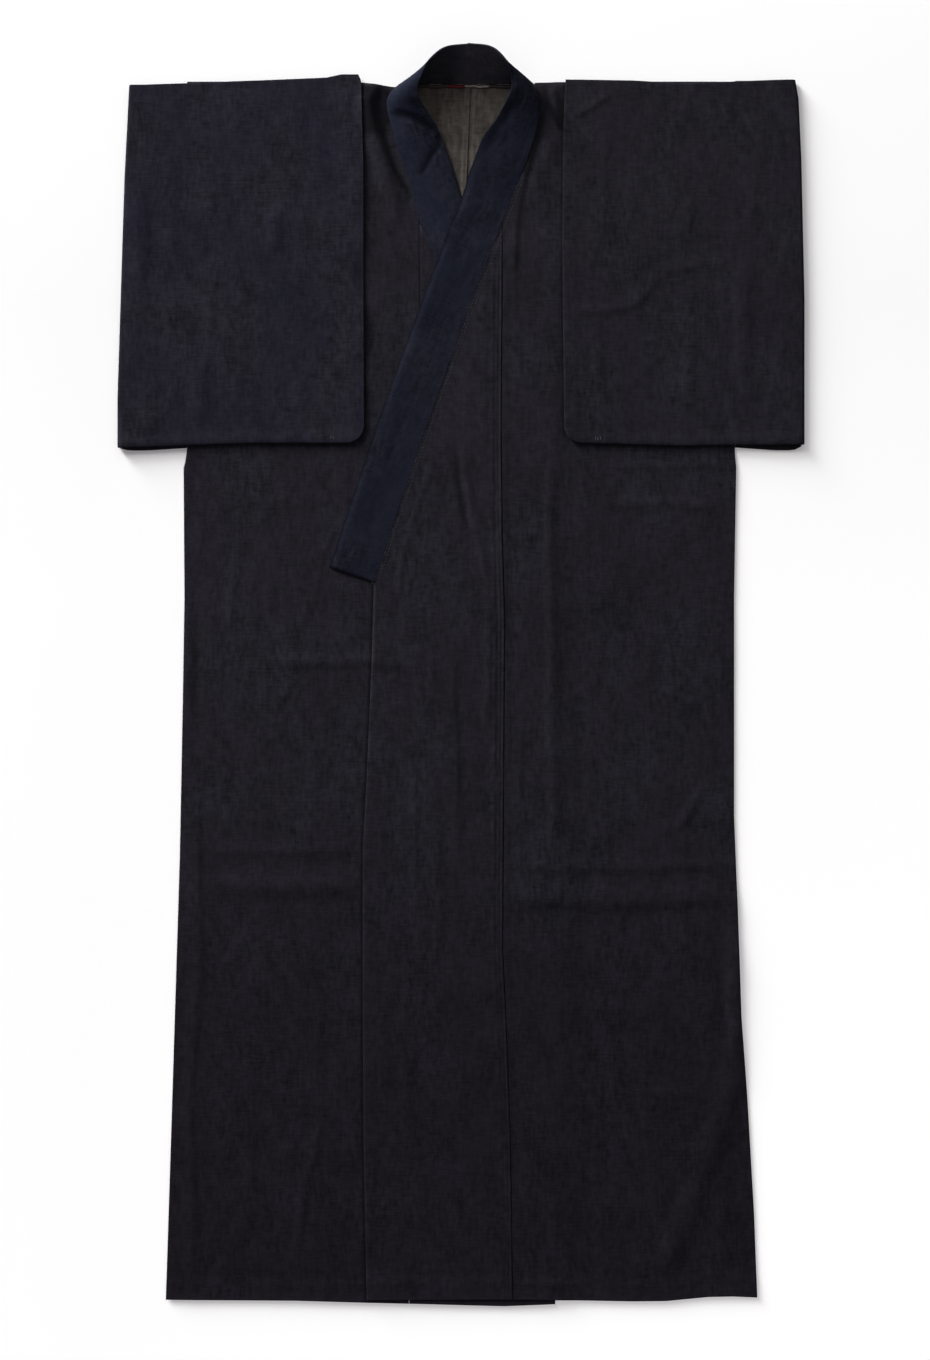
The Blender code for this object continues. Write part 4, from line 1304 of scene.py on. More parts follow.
@dataclass
class BodyLength:
    """One body length: the back, round the shoulder fold, and the front, in one wall of cloth.

    Columns are places: 0 on the side edge, 1 on the side's line and 2 on the inner edge. Turns are in
    degrees. Slack has a height and a length. seam_lines_and_painted_light are the (place, share, reach) of
    the lines beside the centre seam on the lining: the seam's dark line, and painted shade and painted
    highlights along the ridges and wrinkles beside it. lines_fade is how they fade up the back, and
    nape_painted_shade how dark the lining is painted below the nape, where the collar shades it.
    """

    side: SideCut
    front_rows: int = 350
    front_from: float = -0.006
    side_columns: tuple[float, ...] = (0.0, 0.0016, 0.0045, 0.0095)
    line_columns: tuple[float, ...] = (0.968, 0.980, 0.990, 0.996, 1.0, 1.012, 1.03, 1.055, 1.09)
    inner_columns: tuple[float, ...] = (1.865, 1.90, 1.93, 1.955, 1.975, 1.989, 1.9965, 2.0)
    back_hem_rows: tuple[float, ...] = (0.978, 0.984, 0.990, 0.995, 0.998, 0.9992, 1.0)
    turn: Triple = (15.0, 171.0, 13.0)
    neck_columns: int = 36
    neck_crowd: float = 1.8
    edge_round: Pair = (0.42, 0.0011)
    slack: Pair = (0.00012, 0.05)
    inner_slack: Pair = (0.00010, 0.03)
    hem_band: Pair = (0.0255, 0.0235)
    slack_from: float = 0.02
    allowance: Pair = (0.0079, 0.0071)
    allowance_rise: float = 0.0006
    allowance_foot: float = 0.0007
    highest: float = 0.0007
    shoulder_fade: float = 0.004
    neck_rise: float = 0.0018
    rise_across: Four = (0.028, 0.062, 0.078, 0.092)
    rise_down: Four = (-0.080, -0.040, -0.020, -0.006)
    seam_gap: float = 0.00001
    # The seam's dark line, with painted shade and painted highlights of the ridges and wrinkles beside it.
    seam_lines_and_painted_light: dict[str, Rows3] = field(default_factory=lambda: {
        "right": ((0.0, -1.5, 0.0008), (0.0022, 0.5, 0.0009), (0.0060, 0.5, 0.0012), (0.0112, -0.6, 0.0020),
                  (0.0430, -0.9, 0.0032), (0.0520, 0.5, 0.0060)),
        "left": ((0.0, -1.7, 0.0009), (0.0042, 0.75, 0.0016), (0.0102, 0.5, 0.0018), (0.0150, -0.6, 0.0016)),
    })
    lines_fade: Triple = (0.60, -0.030, -0.120)
    lines_end: float = -0.25
    # Painted shade on the lining below the nape, where the collar shades it.
    nape_painted_shade: Triple = (1.6, -0.0066, -0.0046)
    nape_across: float = 0.085
    hem_rub: EdgeMark = EdgeMark(0.5)
    side_rub: EdgeMark = EdgeMark(0.35, 0.0, 0.0008)
    # Painted shade on the front beside the overlap panel's seam.
    beside_panel_painted_shade: EdgeMark = EdgeMark(-0.50, 0.0, 0.0024)
    # Painted shade on the under front in the crevice beside the over panel's free edge.
    free_edge_rub_and_painted_light: EdgeMark = EdgeMark(-0.9, 0.0010, 0.0020)
    below_sleeve: Pair = (-0.424, -0.420)
    below_collar: Pair = (-0.591, -0.595)
    beside_panel: Pair = (-0.163, -0.173)
    fold_length: float = 0.004
    cloth_shift: float = 0.37

    def columns(self, y: Array) -> Array:
        """Where every column of the front runs.

        Args:
            y: Places along.

        Returns:
            Each column's a at each y, (rows, columns).
        """
        inner = PLAN.inner_edge(self.side, y)[..., None]
        edge = look_up(self.side.edge, y)[..., None]
        line = look_up(self.side.line, y)[..., None]
        place = np.concatenate([self.side_columns, np.linspace(0.018, 0.955, 60), self.line_columns,
                                np.linspace(1.13, 1.82, 15), self.inner_columns])
        return np.where(place < 1, edge + (line - edge) * place, line + (inner - line) * (place - 1))

    def back_shares(self) -> Array:
        """Shares of the way from the hem up to the shoulder fold, closer together at the neck and hem."""
        neck, rest = np.linspace(0.0, 0.11, 40), np.linspace(0.11, 0.97, 46)[1:]
        return np.concatenate([neck, rest, self.back_hem_rows])[::-1]

    def back(self, fold_a: Array, fold_radius: Array) -> tuple[Array, Array]:
        """The back's skins, from the hem up to the shoulder fold and the neck.

        A point's y is the share of its column's length. Its a is spread between the edges at that y as it is
        at the shoulder. Shallow troughs thin the wall from below, so that the inner face stays.

        Args:
            fold_a: The a of each column that goes on round the shoulder.
            fold_radius: The shoulder fold's radius at each of them.

        Returns:
            Both, (rows, columns, 3).
        """
        side, extra, count = self.side, self.neck_columns, len(fold_a)
        share = self.back_shares()[:, None]
        top = np.concatenate([look_up(side.shoulder, fold_a) - fold_radius, np.zeros(extra)])
        y = top + (PLAN.back_hem - top) * share
        edge = look_up(side.edge, y)
        centre = PLAN.centre(side, y) + self.seam_gap
        neck = fold_a[-1] + (centre - PLAN.centre(side, 0.0) - self.seam_gap) * share
        on_fold = (fold_a - fold_a[-1]) / (fold_a[0] - fold_a[-1])
        steps = 1 - (1 - np.arange(1, extra + 1) / extra) ** self.neck_crowd
        towards = np.concatenate([edge[:, :count], centre[:, count:]], axis=1)
        a = neck + (towards - neck) * np.concatenate([on_fold, steps])
        x = side.sign * a
        above_hem, from_centre = y - PLAN.back_hem, a - centre
        border = np.maximum(np.minimum.reduce([edge - a, from_centre, above_hem]), 0.0)
        depth, radius = self.edge_round
        round_off = WALL.ply * depth * (1 - rounded(border, radius))
        high, wave = self.slack
        below = relief_of(side.under, x, y) + high * (1 + 2 * ripple(x, y, wave, side.seed + 5))
        below = np.maximum(below, 0.0) * (1 - ease(*self.hem_band, above_hem))
        below = below * ease(0.0, self.slack_from, border)
        high, wave = self.inner_slack
        inner_z = high * ripple(x, y, wave, side.seed + 6) - round_off
        if not side.over:
            seam = ease(*self.allowance, from_centre) * ease(0.0, self.allowance_foot, from_centre)
            inner_z = inner_z + self.allowance_rise * seam
        fade = ease(top, top - self.shoulder_fade, y)
        rise = self.neck_rise * window(self.rise_across, a) * window(self.rise_down, y)
        inner_z = WALL.ply + np.minimum(inner_z, self.highest) * fade + rise
        outer = np.stack([x, y, (round_off + below) * fade + rise], axis=-1)
        return outer, np.stack([x, y, inner_z], axis=-1)

    def fold(self, a: Array, radius: Array) -> Array:
        """The shoulder's outer face: a half circle of these radii across, (rows, columns, 3)."""
        turn = np.radians(np.arange(*self.turn))[:, None]
        y = look_up(self.side.shoulder, a) - radius + radius * np.sin(turn)
        return np.stack([self.side.sign * a + 0 * y, y, radius * (1 - np.cos(turn))], axis=-1)

    def back_marks_and_painted_light(self, back: Array) -> Array:
        """Back marks: hem rubbing, seam lines with painted light and shade, painted shade below the nape.

        Args:
            back: The back's points.

        Returns:
            The marks and painted light at each point.
        """
        a, y = self.side.sign * back[..., 0], back[..., 1]
        off_seam = a - PLAN.centre(self.side, y) - self.seam_gap
        # The seam's dark line, with painted shade and painted highlights beside it.
        prints = self.seam_lines_and_painted_light[self.side.name]
        lines = sum(share * bell_falloff(off_seam - place, reach) for place, share, reach in prints)
        least, *fade = self.lines_fade
        lines = lines * (least + (1 - least) * ease(*fade, y)) * (y > self.lines_end)
        # Painted shade below the nape, where the collar shades the lining.
        dark, *nape = self.nape_painted_shade
        return self.hem_rub.at(y - PLAN.back_hem) + lines - dark * ease(*nape, y) * (a < self.nape_across)

    def front_marks_and_painted_light(self, point: Array, a: Array, edges: tuple[Array, Array, Array]) -> Array:
        """The front's marks: hem and side rubbing, and painted shade where other pieces and folds shade it.

        Args:
            point: The front's points.
            a: Their places across.
            edges: Their distances to the side edge, the inner edge and the hem.

        Returns:
            The marks and painted light at each point.
        """
        side, x, y = self.side, point[..., 0], point[..., 1]
        seam, inside, to_hem = edges
        beside = a - look_up(side.line, y)
        marks_and_painted_light = SURFACE.hem_wear(to_hem) + self.side_rub.at(np.maximum(seam, 0.0))
        # Painted shade along the listed paths, beside the sleeve's edge, and beside the panel or the free
        # edge.
        marks_and_painted_light = marks_and_painted_light - relief_of(side.painted_shades, x, y) / MM
        marks_and_painted_light = marks_and_painted_light + side.sleeve_painted_shade.at(beside) * ease(*self.below_sleeve, y)
        if side.over:
            return marks_and_painted_light + self.beside_panel_painted_shade.at(np.maximum(inside, 0.0)) * ease(*self.beside_panel, y)
        return marks_and_painted_light + self.free_edge_rub_and_painted_light.at(beside) * ease(*self.below_collar, y)

    def skins(self) -> Skins:
        """The whole piece on one grid: the back from the hem, the fold, and the front.

        Beyond the neck the fold's and the front's rows carry on the last column, and keep leaves them out.

        Returns:
            Both skins.
        """
        side = self.side
        fold_a = self.columns(np.array(0.0))
        radius = PLAN.front_top(side, side.sign * fold_a, np.zeros(fold_a.shape)) / 2
        back_outer, back_inner = self.back(fold_a, radius)
        fold = self.fold(fold_a, radius)
        nominal = PLAN.rows_down(self.front_from, self.front_rows)
        a = self.columns(nominal)
        front = SURFACE.face(side, nominal, a, False)
        drawn = np.concatenate([fold, front])
        step = drawn[:, -1:] - drawn[:, -2:-1]
        missing = drawn[:, -1:] + step * np.arange(1, self.neck_columns + 1)[None, :, None]
        drawn = np.concatenate([drawn, missing], axis=1)
        outer = np.concatenate([back_outer, drawn])
        rows, columns = outer.shape[:2]
        backs, count = len(back_outer), len(fold_a)
        keep = np.ones((rows - 1, columns - 1), bool)
        keep[backs - 1:, count - 1:] = False

        x, y = front[..., 0], front[..., 1]
        edges = (look_up(side.edge, y) - a, a - PLAN.inner_edge(side, y), y - look_up(side.hem, x))
        share, marks_and_painted_light = np.ones((rows, columns)), np.zeros((rows, columns))
        share[backs + len(fold):, :count] = WALL.thinned(*edges)
        full_outer, full_inner = wall_skins(outer, WALL.ply, share, keep, side.sign)
        full_outer[:backs] = back_outer
        full_inner[:backs] = back_inner
        marks_and_painted_light[:backs] = self.back_marks_and_painted_light(back_outer)
        marks_and_painted_light[backs + len(fold):, :count] = self.front_marks_and_painted_light(front, a, edges)
        across = side.sign * outer[..., 0] + side.seed * self.cloth_shift
        along = np.concatenate([back_outer[..., 1], self.fold_length - drawn[..., 1]])
        return Skins(full_outer, full_inner, across, along, marks_and_painted_light, keep)

    def build(self, finishes: Finishes) -> Object:
        """Makes the piece."""
        return denim_wall("body_length_", "body_", self.side, self.skins(), finishes)


@dataclass
class OverlapPanel:
    """The panel between a front and the collar, with the free front edge below the collar.

    Columns are shares of the way in from the seam. The under panel has a third of them.
    """

    side: SideCut
    rows: int = 290
    columns: int = 46
    near_seam: tuple[float, ...] = (0.0, 0.0022, 0.0055, 0.0095, 0.0140, 0.0190, 0.0245, 0.0300, 0.0360,
                                    0.0420, 0.0485, 0.0550, 0.0615, 0.0685, 0.0760, 0.0850, 0.0945)
    near_free: tuple[float, ...] = (0.982, 0.990, 0.9965, 1.0)
    # Painted shade along the seam, and beside it rubbing on the seam's ridge, partly a painted highlight.
    seam_painted_shade: EdgeMark = EdgeMark(-0.6, 0.0, 0.0009)
    ridge_rub_and_highlight: EdgeMark = EdgeMark(0.25, 0.0022, 0.0008)
    # Rubbing along the free edge, strengthened up the front as a painted highlight on the edge that faces the
    # light.
    free_edge_rub_and_painted_light: EdgeMark = EdgeMark(1.0, 0.0012, 0.0016)
    free_share: Pair = (0.15, 0.70)
    free_from: Pair = (-0.760, -0.670)
    cloth_shift: float = 0.51

    def skins(self) -> Skins:
        """The panel from its seam to its inner edge, and from its top to the hem.

        Returns:
            Both skins.
        """
        side = self.side
        rows, columns = (count if side.over else count // 3 for count in (self.rows, self.columns))
        nominal = PLAN.rows_down(PLAN.overlap_top, rows)
        seam = look_up(PLAN.overlap_seam, nominal)[:, None] - WALL.gap
        inner = PLAN.panel_edge(nominal)[:, None]
        spread = np.concatenate([self.near_seam, np.linspace(0.105, 0.972, columns), self.near_free])
        a = seam + (inner - seam) * spread
        outer = SURFACE.face(side, nominal, a, True)
        x, y = outer[..., 0], outer[..., 1]
        from_seam, from_free, to_hem = seam - a, a - inner, y - look_up(side.hem, x)
        share = WALL.thinned(from_seam, from_free, to_hem)
        skin_out, skin_in = wall_skins(outer, WALL.ply, share, None, side.sign)
        below_collar = (nominal < PLAN.collar_end)[:, None]
        least, most = self.free_share
        free = self.free_edge_rub_and_painted_light.at(from_free) * (least + (most - least) * ease(*self.free_from, y))
        free = free * below_collar
        # The side's painted shade along its paths reaches over the panel too.
        marks_and_painted_light = SURFACE.hem_wear(to_hem) + free - relief_of(side.painted_shades, x, y) / MM
        marks_and_painted_light = marks_and_painted_light + self.seam_painted_shade.at(from_seam) + self.ridge_rub_and_highlight.at(from_seam)
        return Skins(skin_out, skin_in, a + side.seed * self.cloth_shift, -y, marks_and_painted_light)

    def build(self, finishes: Finishes) -> Object:
        """Makes the piece."""
        return denim_wall("overlap_panel_", "overlap_", self.side, self.skins(), finishes)


@dataclass
class Sleeve:
    """A sleeve: a flat tube of two plies, out from the armhole, round its fold and back over the front.

    A part of it is four arrays, (stations, points): a, y, z and the length of cloth from the armhole. down
    is a ply's points from top to bottom, and crowd how much closer together they are at both. pressed is
    the share of its thickness that the wrist keeps, and over what length.
    """

    side: SideCut
    half: float = (2 * WALL.ply + WALL.gap) / 2
    hollow: float = WALL.gap / 2
    air: float = 0.0013
    fold_radius: float = 0.0027
    armhole: float = 0.323
    outer_fold: float = 0.404
    wrist: float = 0.120
    settle: Pair = (0.285, 0.400)
    corner: float = 0.020
    down: int = 128
    crowd: float = 0.12
    rim: tuple[float, ...] = (22.5, 45.0, 67.5, 90.0, 112.5, 135.0, 157.5)
    under_steps: int = 12
    arc_steps: int = 9
    over_steps: int = 88
    corner_steps: int = 13
    hem_band: Pair = (0.0117, 0.0093)
    hem_rise: float = 0.00035
    gather: Pair = (0.00018, 0.008)
    gather_band: Four = (0.0, 0.005, 0.008, 0.022)
    wrist_band: Pair = (0.0065, 0.0055)
    wrist_rise: float = 0.00022
    slack: Triple = (0.00042, 0.075, 0.6)
    grain: Triple = (0.00006, 0.015, 0.5)
    under_slack: Pair = (0.00008, 0.05)
    lift_reach: float = 0.026
    pressed: Pair = (0.50, 0.014)
    curl_reach: float = 0.020
    low_rub: EdgeMark = EdgeMark(0.3)
    cloth_shift: float = 0.43

    def loop(self, half: float, top: Array, bottom: Array) -> tuple[Array, Array]:
        """Once round the flat tube at every station.

        Args:
            half: Half the thickness between the two skins that face apart.
            top: The top edge at each station.
            bottom: The bottom edge at each station.

        Returns:
            y and the distance off the tube's middle, (stations, points).
        """
        share = np.linspace(0.0, 1.0, self.down)
        share = share - self.crowd * np.sin(2 * np.pi * share) / (2 * np.pi)
        start, stop = (top - self.half)[:, None], (bottom + self.half)[:, None]
        down = start + (stop - start) * share
        rim = np.radians(self.rim)
        out, over = half * np.sin(rim), np.tile(half * np.cos(rim), (len(top), 1))
        y = np.concatenate([down, down[:, -1:] - out, down[:, ::-1], down[:, :1] + out], axis=1)
        straight = np.full(down.shape, half)
        return y, np.concatenate([straight, over, -straight, -over], axis=1)

    def low_line(self, a: Array) -> Array:
        """The over part's lower edge, as y, at each a."""
        return look_up(self.side.sleeve.over_bottom, np.clip(a, self.wrist, self.outer_fold))

    def fold_line(self, y: Array) -> Array:
        """The place, as a, from which the tube turns round its outer fold."""
        return look_up(self.side.sleeve.fold, y) - self.fold_radius - self.half

    def under_part(self, half: float) -> tuple[Array, Array, Array, Array]:
        """From the armhole out to the fold, flat on the floor but for shallow troughs.

        Args:
            half: The skin's distance from the tube's middle.

        Returns:
            The part.
        """
        cut, side = self.side.sleeve, self.side
        share = np.linspace(0.0, 1.0, self.under_steps)
        nominal = self.armhole + (self.outer_fold - self.armhole) * share
        fold_top = look_up(cut.over_top, self.outer_fold) * np.ones(len(share))
        y, off = self.loop(half, fold_top, look_up(cut.under_bottom, nominal))
        start = self.armhole + WALL.gap
        a = start + (self.fold_line(y) - start) * share[:, None]
        high, wave = self.under_slack
        trough = high * (1 + 2 * ripple(side.sign * a, y, wave, side.seed + 31)) * ease(0.0, 0.0005, off)
        return a, y, self.half - off + trough, a - start

    def fold_part(self, half: float) -> tuple[Array, Array, Array, Array]:
        """Round the outer fold, as a half circle.

        Args:
            half: The skin's distance from the tube's middle.

        Returns:
            The part.
        """
        cut = self.side.sleeve
        turn = np.radians(np.linspace(0.0, 180.0, self.arc_steps + 2)[1:-1])[:, None]
        y, off = self.loop(half, *(np.full(len(turn), look_up(rows, self.outer_fold))
                                   for rows in (cut.over_top, cut.over_bottom)))
        a = self.fold_line(y) + (self.fold_radius + off) * np.sin(turn)
        z = self.half + self.fold_radius - (self.fold_radius + off) * np.cos(turn)
        return a, y, z, self.outer_fold - self.armhole + self.fold_radius * turn + 0 * y

    def over_part(self, half: float) -> tuple[Array, Array, Array, Array]:
        """From the fold to the wrist, over the front.

        It lies on the front's outer face and the air on it, and rises to the fold. Its wrist and its lower
        edge curl by the cut's own amounts, and the wrist is pressed thinner. The last stations go round the
        lower wrist corner: the end moves in by corner * (1 - sin) as the bottom moves up by
        corner * (1 - cos).

        Args:
            half: The skin's distance from the tube's middle.

        Returns:
            The part.
        """
        cut, side = self.side.sleeve, self.side
        share = np.concatenate([np.linspace(0.0, 1.0, self.over_steps + 1)[:-1], np.ones(self.corner_steps)])
        turn = np.concatenate([np.zeros(self.over_steps), np.linspace(0.0, 90.0, self.corner_steps)])
        turn = np.radians(turn)
        nominal = self.outer_fold + (self.wrist - self.outer_fold) * share
        bottom = look_up(cut.over_bottom, nominal) + self.corner * (1 - np.cos(turn))
        y, off = self.loop(half, look_up(cut.over_top, nominal), bottom)
        start = self.fold_line(y)
        end = look_up(cut.wrist, y) + self.corner * (1 - np.sin(turn))[:, None]
        a = start + (end - start) * share[:, None]
        on_front = PLAN.front_top(side, side.sign * np.minimum(a, look_up(side.edge, y)), y)
        wrist = a - look_up(cut.wrist, y)
        raised = look_up(cut.lift, y) * (1 - ease(0.0, self.lift_reach, wrist))
        raised = raised + cut.curl * (1 - ease(0.0, self.curl_reach, y - self.low_line(a)))
        least, reach = self.pressed
        thin = least + (1 - least) * ease(0.0, reach, wrist)
        lying = on_front + self.air + self.half * thin
        at_fold = self.half + 2 * self.fold_radius
        z = lying + (at_fold - lying) * ease(*self.settle, a) + off * thin + raised * MM
        z = z + self.relief(a, y, off)
        return a, y, z, 2 * self.outer_fold - a - self.armhole + np.pi * self.fold_radius

    def relief(self, a: Array, y: Array, off: Array) -> Array:
        """Creases, waves, gathers and bands on the ply that faces up.

        Args:
            a: Places across.
            y: Places along.
            off: Distances off the tube's middle.

        Returns:
            The height to add at each place.
        """
        cut, side, x = self.side.sleeve, self.side, self.side.sign * a
        low = y - look_up(cut.over_bottom, np.abs(x))
        wrist = np.abs(x) - look_up(cut.wrist, y)
        height = relief_of(cut.creases, x, y)
        for step, (high, wave, drawn_out) in enumerate((self.slack, self.grain)):
            height = height + high * ripple(x, y * drawn_out, wave, side.seed + 32 + step)
        high, spacing = self.gather
        gathers = high * puckers(x, spacing, side.seed + 34) * window(self.gather_band, low)
        bands = self.hem_rise * ease(*self.hem_band, low) + self.wrist_rise * ease(*self.wrist_band, wrist)
        upper = ease(-0.0001, 0.0006, off) * ease(0.0, 0.0022, np.minimum(low, wrist + 0.0015))
        return (height + gathers + bands) * upper

    def skin(self, half: float) -> tuple[Array, Array, Array, Array]:
        """One skin of the tube, station by station.

        Args:
            half: The skin's distance from the tube's middle.

        Returns:
            Its points, and their places across the cloth, rubbing (on the left wrist partly a painted
            highlight) and places along the cloth.
        """
        parts = (self.under_part(half), self.fold_part(half), self.over_part(half))
        a, y, z, across = (np.concatenate([part[index] for part in parts]) for index in range(4))
        wrist = np.maximum(a - look_up(self.side.sleeve.wrist, y), 0.0)
        over = np.repeat([0.0, 1.0], [len(a) - len(parts[2][0]), len(parts[2][0])])[:, None]
        marks_and_painted_light = self.side.sleeve.rub_and_highlight.at(wrist) + self.low_rub.at(np.maximum(y - self.low_line(a), 0.0))
        return np.stack([self.side.sign * a, y, z], axis=-1), across, marks_and_painted_light * over, y

    def build(self, finishes: Finishes) -> Object:
        """Makes the piece: both skins, joined at the armhole and the wrist.

        Args:
            finishes: The robe's materials.

        Returns:
            The piece.
        """
        outer, across, marks_and_painted_light, along = self.skin(self.half)
        across = across + self.side.seed * self.cloth_shift
        skins = Skins(outer, self.skin(self.hollow)[0], across, along, marks_and_painted_light)
        stations, count = across.shape
        total = stations * count
        number = np.arange(total).reshape(stations, count)
        after = np.roll(number, -1, axis=1)
        quads = np.stack([number[:-1], after[:-1], after[1:], number[1:]], axis=-1).reshape(-1, 4)
        rim = np.concatenate([
            np.stack([number[0] + total, after[0] + total, after[0], number[0]], axis=1),
            np.stack([number[-1], after[-1], after[-1] + total, number[-1] + total], axis=1),
        ])
        if self.side.sign > 0:
            quads, rim = quads[:, ::-1], rim[:, ::-1]
        both = (finishes[Tone["SLEEVE_" + self.side.name.upper()]], finishes[Tone.REVERSE])
        made = closed_mesh("sleeve_" + self.side.name + "_cloth", skins, quads, rim, 0.0, both)
        return dressed(made, "sleeve_" + self.side.name)


@dataclass
class Collar:
    """The collar: a strip folded double, up the left front, round the nape and down the right front.

    near_sewn and near_free are shares across. A taper is the share of the thickness left at an edge, and
    how far in it is full. nape_y and nape_a bound where the sewn edge goes over to the back. crossing_lift
    and free_pull move the over half's free edge, over crossing and pulled. seam_line is the sewn edge as
    built, and seam_length the length along it.
    """

    steps: int = 22
    across: int = 22
    near_sewn: tuple[float, ...] = (0.0, 0.004, 0.011, 0.020, 0.032, 0.045)
    near_free: tuple[float, ...] = (0.960, 0.972, 0.983, 0.991, 0.997, 1.0)
    wall: float = WALL.collar
    width: float = 0.0605
    seam_slack: float = -0.00008
    pressed: float = 0.62
    sewn_taper: Pair = (0.07, 0.050)
    free_taper: Pair = (0.30, 0.008)
    free_round: float = 0.0013
    sewn_round: Pair = (0.2, 0.0009)
    edge_share: float = 0.12
    crest_share: float = 0.55
    crest_from: Pair = (-0.010, -0.040)
    over_share: float = 0.72
    over_from: Pair = (0.056, 0.080)
    pressed_from: Pair = (-0.060, -0.130)
    nape_y: Pair = (-0.008, -0.0035)
    nape_a: Pair = (PLAN.neck_point, PLAN.neck_point - 0.010)
    crossing: Four = (-0.300, -0.260, -0.160, -0.125)
    crossing_lift: float = 0.0033
    pulled: Four = (-0.150, -0.100, -0.070, -0.045)
    free_pull: float = 0.0055
    slack: Pair = (0.00030, 0.060)
    gather: Pair = (0.00012, 0.011)
    gather_band: Pair = (0.002, 0.012)
    # Along the free edge: rubbing at the nape, and on the fronts painted shade where the edge shades the
    # cloth.
    free_edge_rub_and_painted_light: Pair = (0.25, -0.80)
    free_reach: float = 0.0016
    end_rub: EdgeMark = EdgeMark(0.3)
    # A painted highlight on the fronts, 4.6 mm in from the free edge.
    row_painted_highlight: EdgeMark = EdgeMark(0.3, 0.0046, 0.0018)
    sewn_light: Triple = (0.08, 0.034, 0.014)
    free_dark: Triple = (0.10, 0.028, 0.044)
    cloth_shift: float = 4.4
    under_creases: tuple[Crease, ...] = folds(
        ((-85, -38, -60, -44, -41, -53, -25, -63), -1.9, 8, 0.2),
        ((-60, -22, -44, -26, -34, -32), 0.7, 6),
        ((-66, -48, -46, -56, -34, -64), 0.6, 7),
        ((-25, -57, -26, -76, -37, -92, -50, -116), -1.6, 8, 0.2, 0.2),
        ((-33, -76, -42, -96, -52, -112), 0.4, 6),
        ((1, -137, -8, -165, -19, -198), -0.5, 5),
    )
    over_creases: tuple[Crease, ...] = folds(
        ((60, -55, 46, -78, 34, -98), -0.45, 7),
        ((82, -60, 70, -86, 61, -108), -0.5, 6),
        ((84, -2, 63, -31, 44, -61, 27, -92), -1.3, 11, 0.25, 0.1),
        ((93, -80, 79, -116, 65, -156), 0.7, 8, 0.3),
        ((20, -200, -8, -270), -0.25, 8),
        ((-60, -380, -85, -450), -0.25, 8),
        ((-96, -470, -118, -535), 0.25, 7),
    )
    # Painted shade along paths where the collar's folds and roll shade it.
    under_painted_shades: tuple[Crease, ...] = folds(
        ((-85, -39, -60, -44, -41, -53, -24, -63), 0.85, 8, 0.2),
        ((-24, -54, -26, -76, -37, -92, -50, -118), 0.8, 7, 0.2),
    )
    over_painted_shades: tuple[Crease, ...] = folds(
        ((94, -12, 94, -42, 90, -64, 84, -83), 0.75, 5, 0.25),
        ((68, -7, 55, -33, 37, -64, 22, -94), 0.5, 10, 0.3),
        ((4, -137, -21, -201), 0.5, 4),
    )
    seam_line: Array = field(init=False)
    seam_length: Array = field(init=False)

    def smooth_rows(self) -> Array:
        """A smooth (Catmull-Rom) line through the rows of the table.

        Returns:
            The rows, with steps between.
        """
        rows = np.array(COLLAR_ROWS)
        ends = np.concatenate([[2 * rows[0] - rows[1]], rows, [2 * rows[-1] - rows[-2]]])
        t = (np.arange(self.steps) / self.steps)[None, :, None]
        before, start, stop, after = (ends[k: len(ends) - 3 + k][:, None, :] for k in range(4))
        found = 0.5 * (2 * start + (stop - before) * t
                       + (2 * before - 5 * start + 4 * stop - after) * t**2
                       + (3 * start - before - 3 * stop + after) * t**3)
        return np.concatenate([found.reshape(-1, rows.shape[1]), rows[-1:]])

    def half(self, side: SideCut) -> tuple[Array, Array, Array]:
        """Half the collar, from its end to the nape.

        The sewn edge lies on the front, and round the nape on the back. The free edge lies on the back or on
        the other half, plus its own lift, and the middle is pulled out and up between them.

        Args:
            side: The half's side.

        Returns:
            The sewn edge, the middle and the free edge, each (n, 3).
        """
        s_a, s_y, f_a, f_y, free_lift, out, back, crest = self.smooth_rows().T
        crest = crest * (1 + (self.crest_share - 1) * ease(*self.crest_from, s_y))
        sewn_x = side.sign * s_a + look_up(PLAN.neck_shift, s_y)
        free_x = side.sign * f_a + look_up(PLAN.neck_shift, f_y)
        on_back = WALL.ply + WALL.gap + self.wall / 2
        inside = sewn_x + side.sign * PLAN.seam_lap / 2
        on_front = WALL.gap + self.seam_slack + self.wall / 2
        on_front = PLAN.front_top(side, inside, np.minimum(s_y, 0.0)) + on_front
        at_nape = ease(*self.nape_y, s_y) * ease(*self.nape_a, s_a)
        sewn_z = on_front + (on_back + WALL.gap - on_front) * at_nape
        free_z = on_back + WALL.air + free_lift
        if side.over:
            free_z = free_z + free_lift * (self.over_share - 1) * ease(*self.over_from, s_a)
            free_z = free_z + WALL.ply + WALL.gap + WALL.air + self.crossing_lift * window(self.crossing, f_y)
            free_x = free_x - self.free_pull * window(self.pulled, f_y)
        middle = np.stack([
            (sewn_x + free_x) / 2 + side.sign * out * side.collar_roll,
            (s_y + f_y) / 2 + back * side.collar_roll,
            (sewn_z + free_z) / 2 + crest,
        ], axis=1)
        return np.stack([sewn_x, s_y, sewn_z], axis=1), middle, np.stack([free_x, f_y, free_z], axis=1)

    def centre_surface(self) -> tuple[Array, Array]:
        """The strip's middle surface, whose sections are (1-t)^2 sewn + 2t(1-t) middle + t^2 free.

        Returns:
            The points, (rows, columns, 3), and the columns' shares across.
        """
        left, right = self.half(LEFT), self.half(RIGHT)
        sewn, middle, free = (np.concatenate([a, b[-2::-1]])[:, None, :] for a, b in zip(left, right))
        share = np.concatenate([self.near_sewn, np.linspace(0.065, 0.945, self.across), self.near_free])
        t = share[None, :, None]
        return (1 - t) ** 2 * sewn + 2 * t * (1 - t) * middle + t**2 * free, share

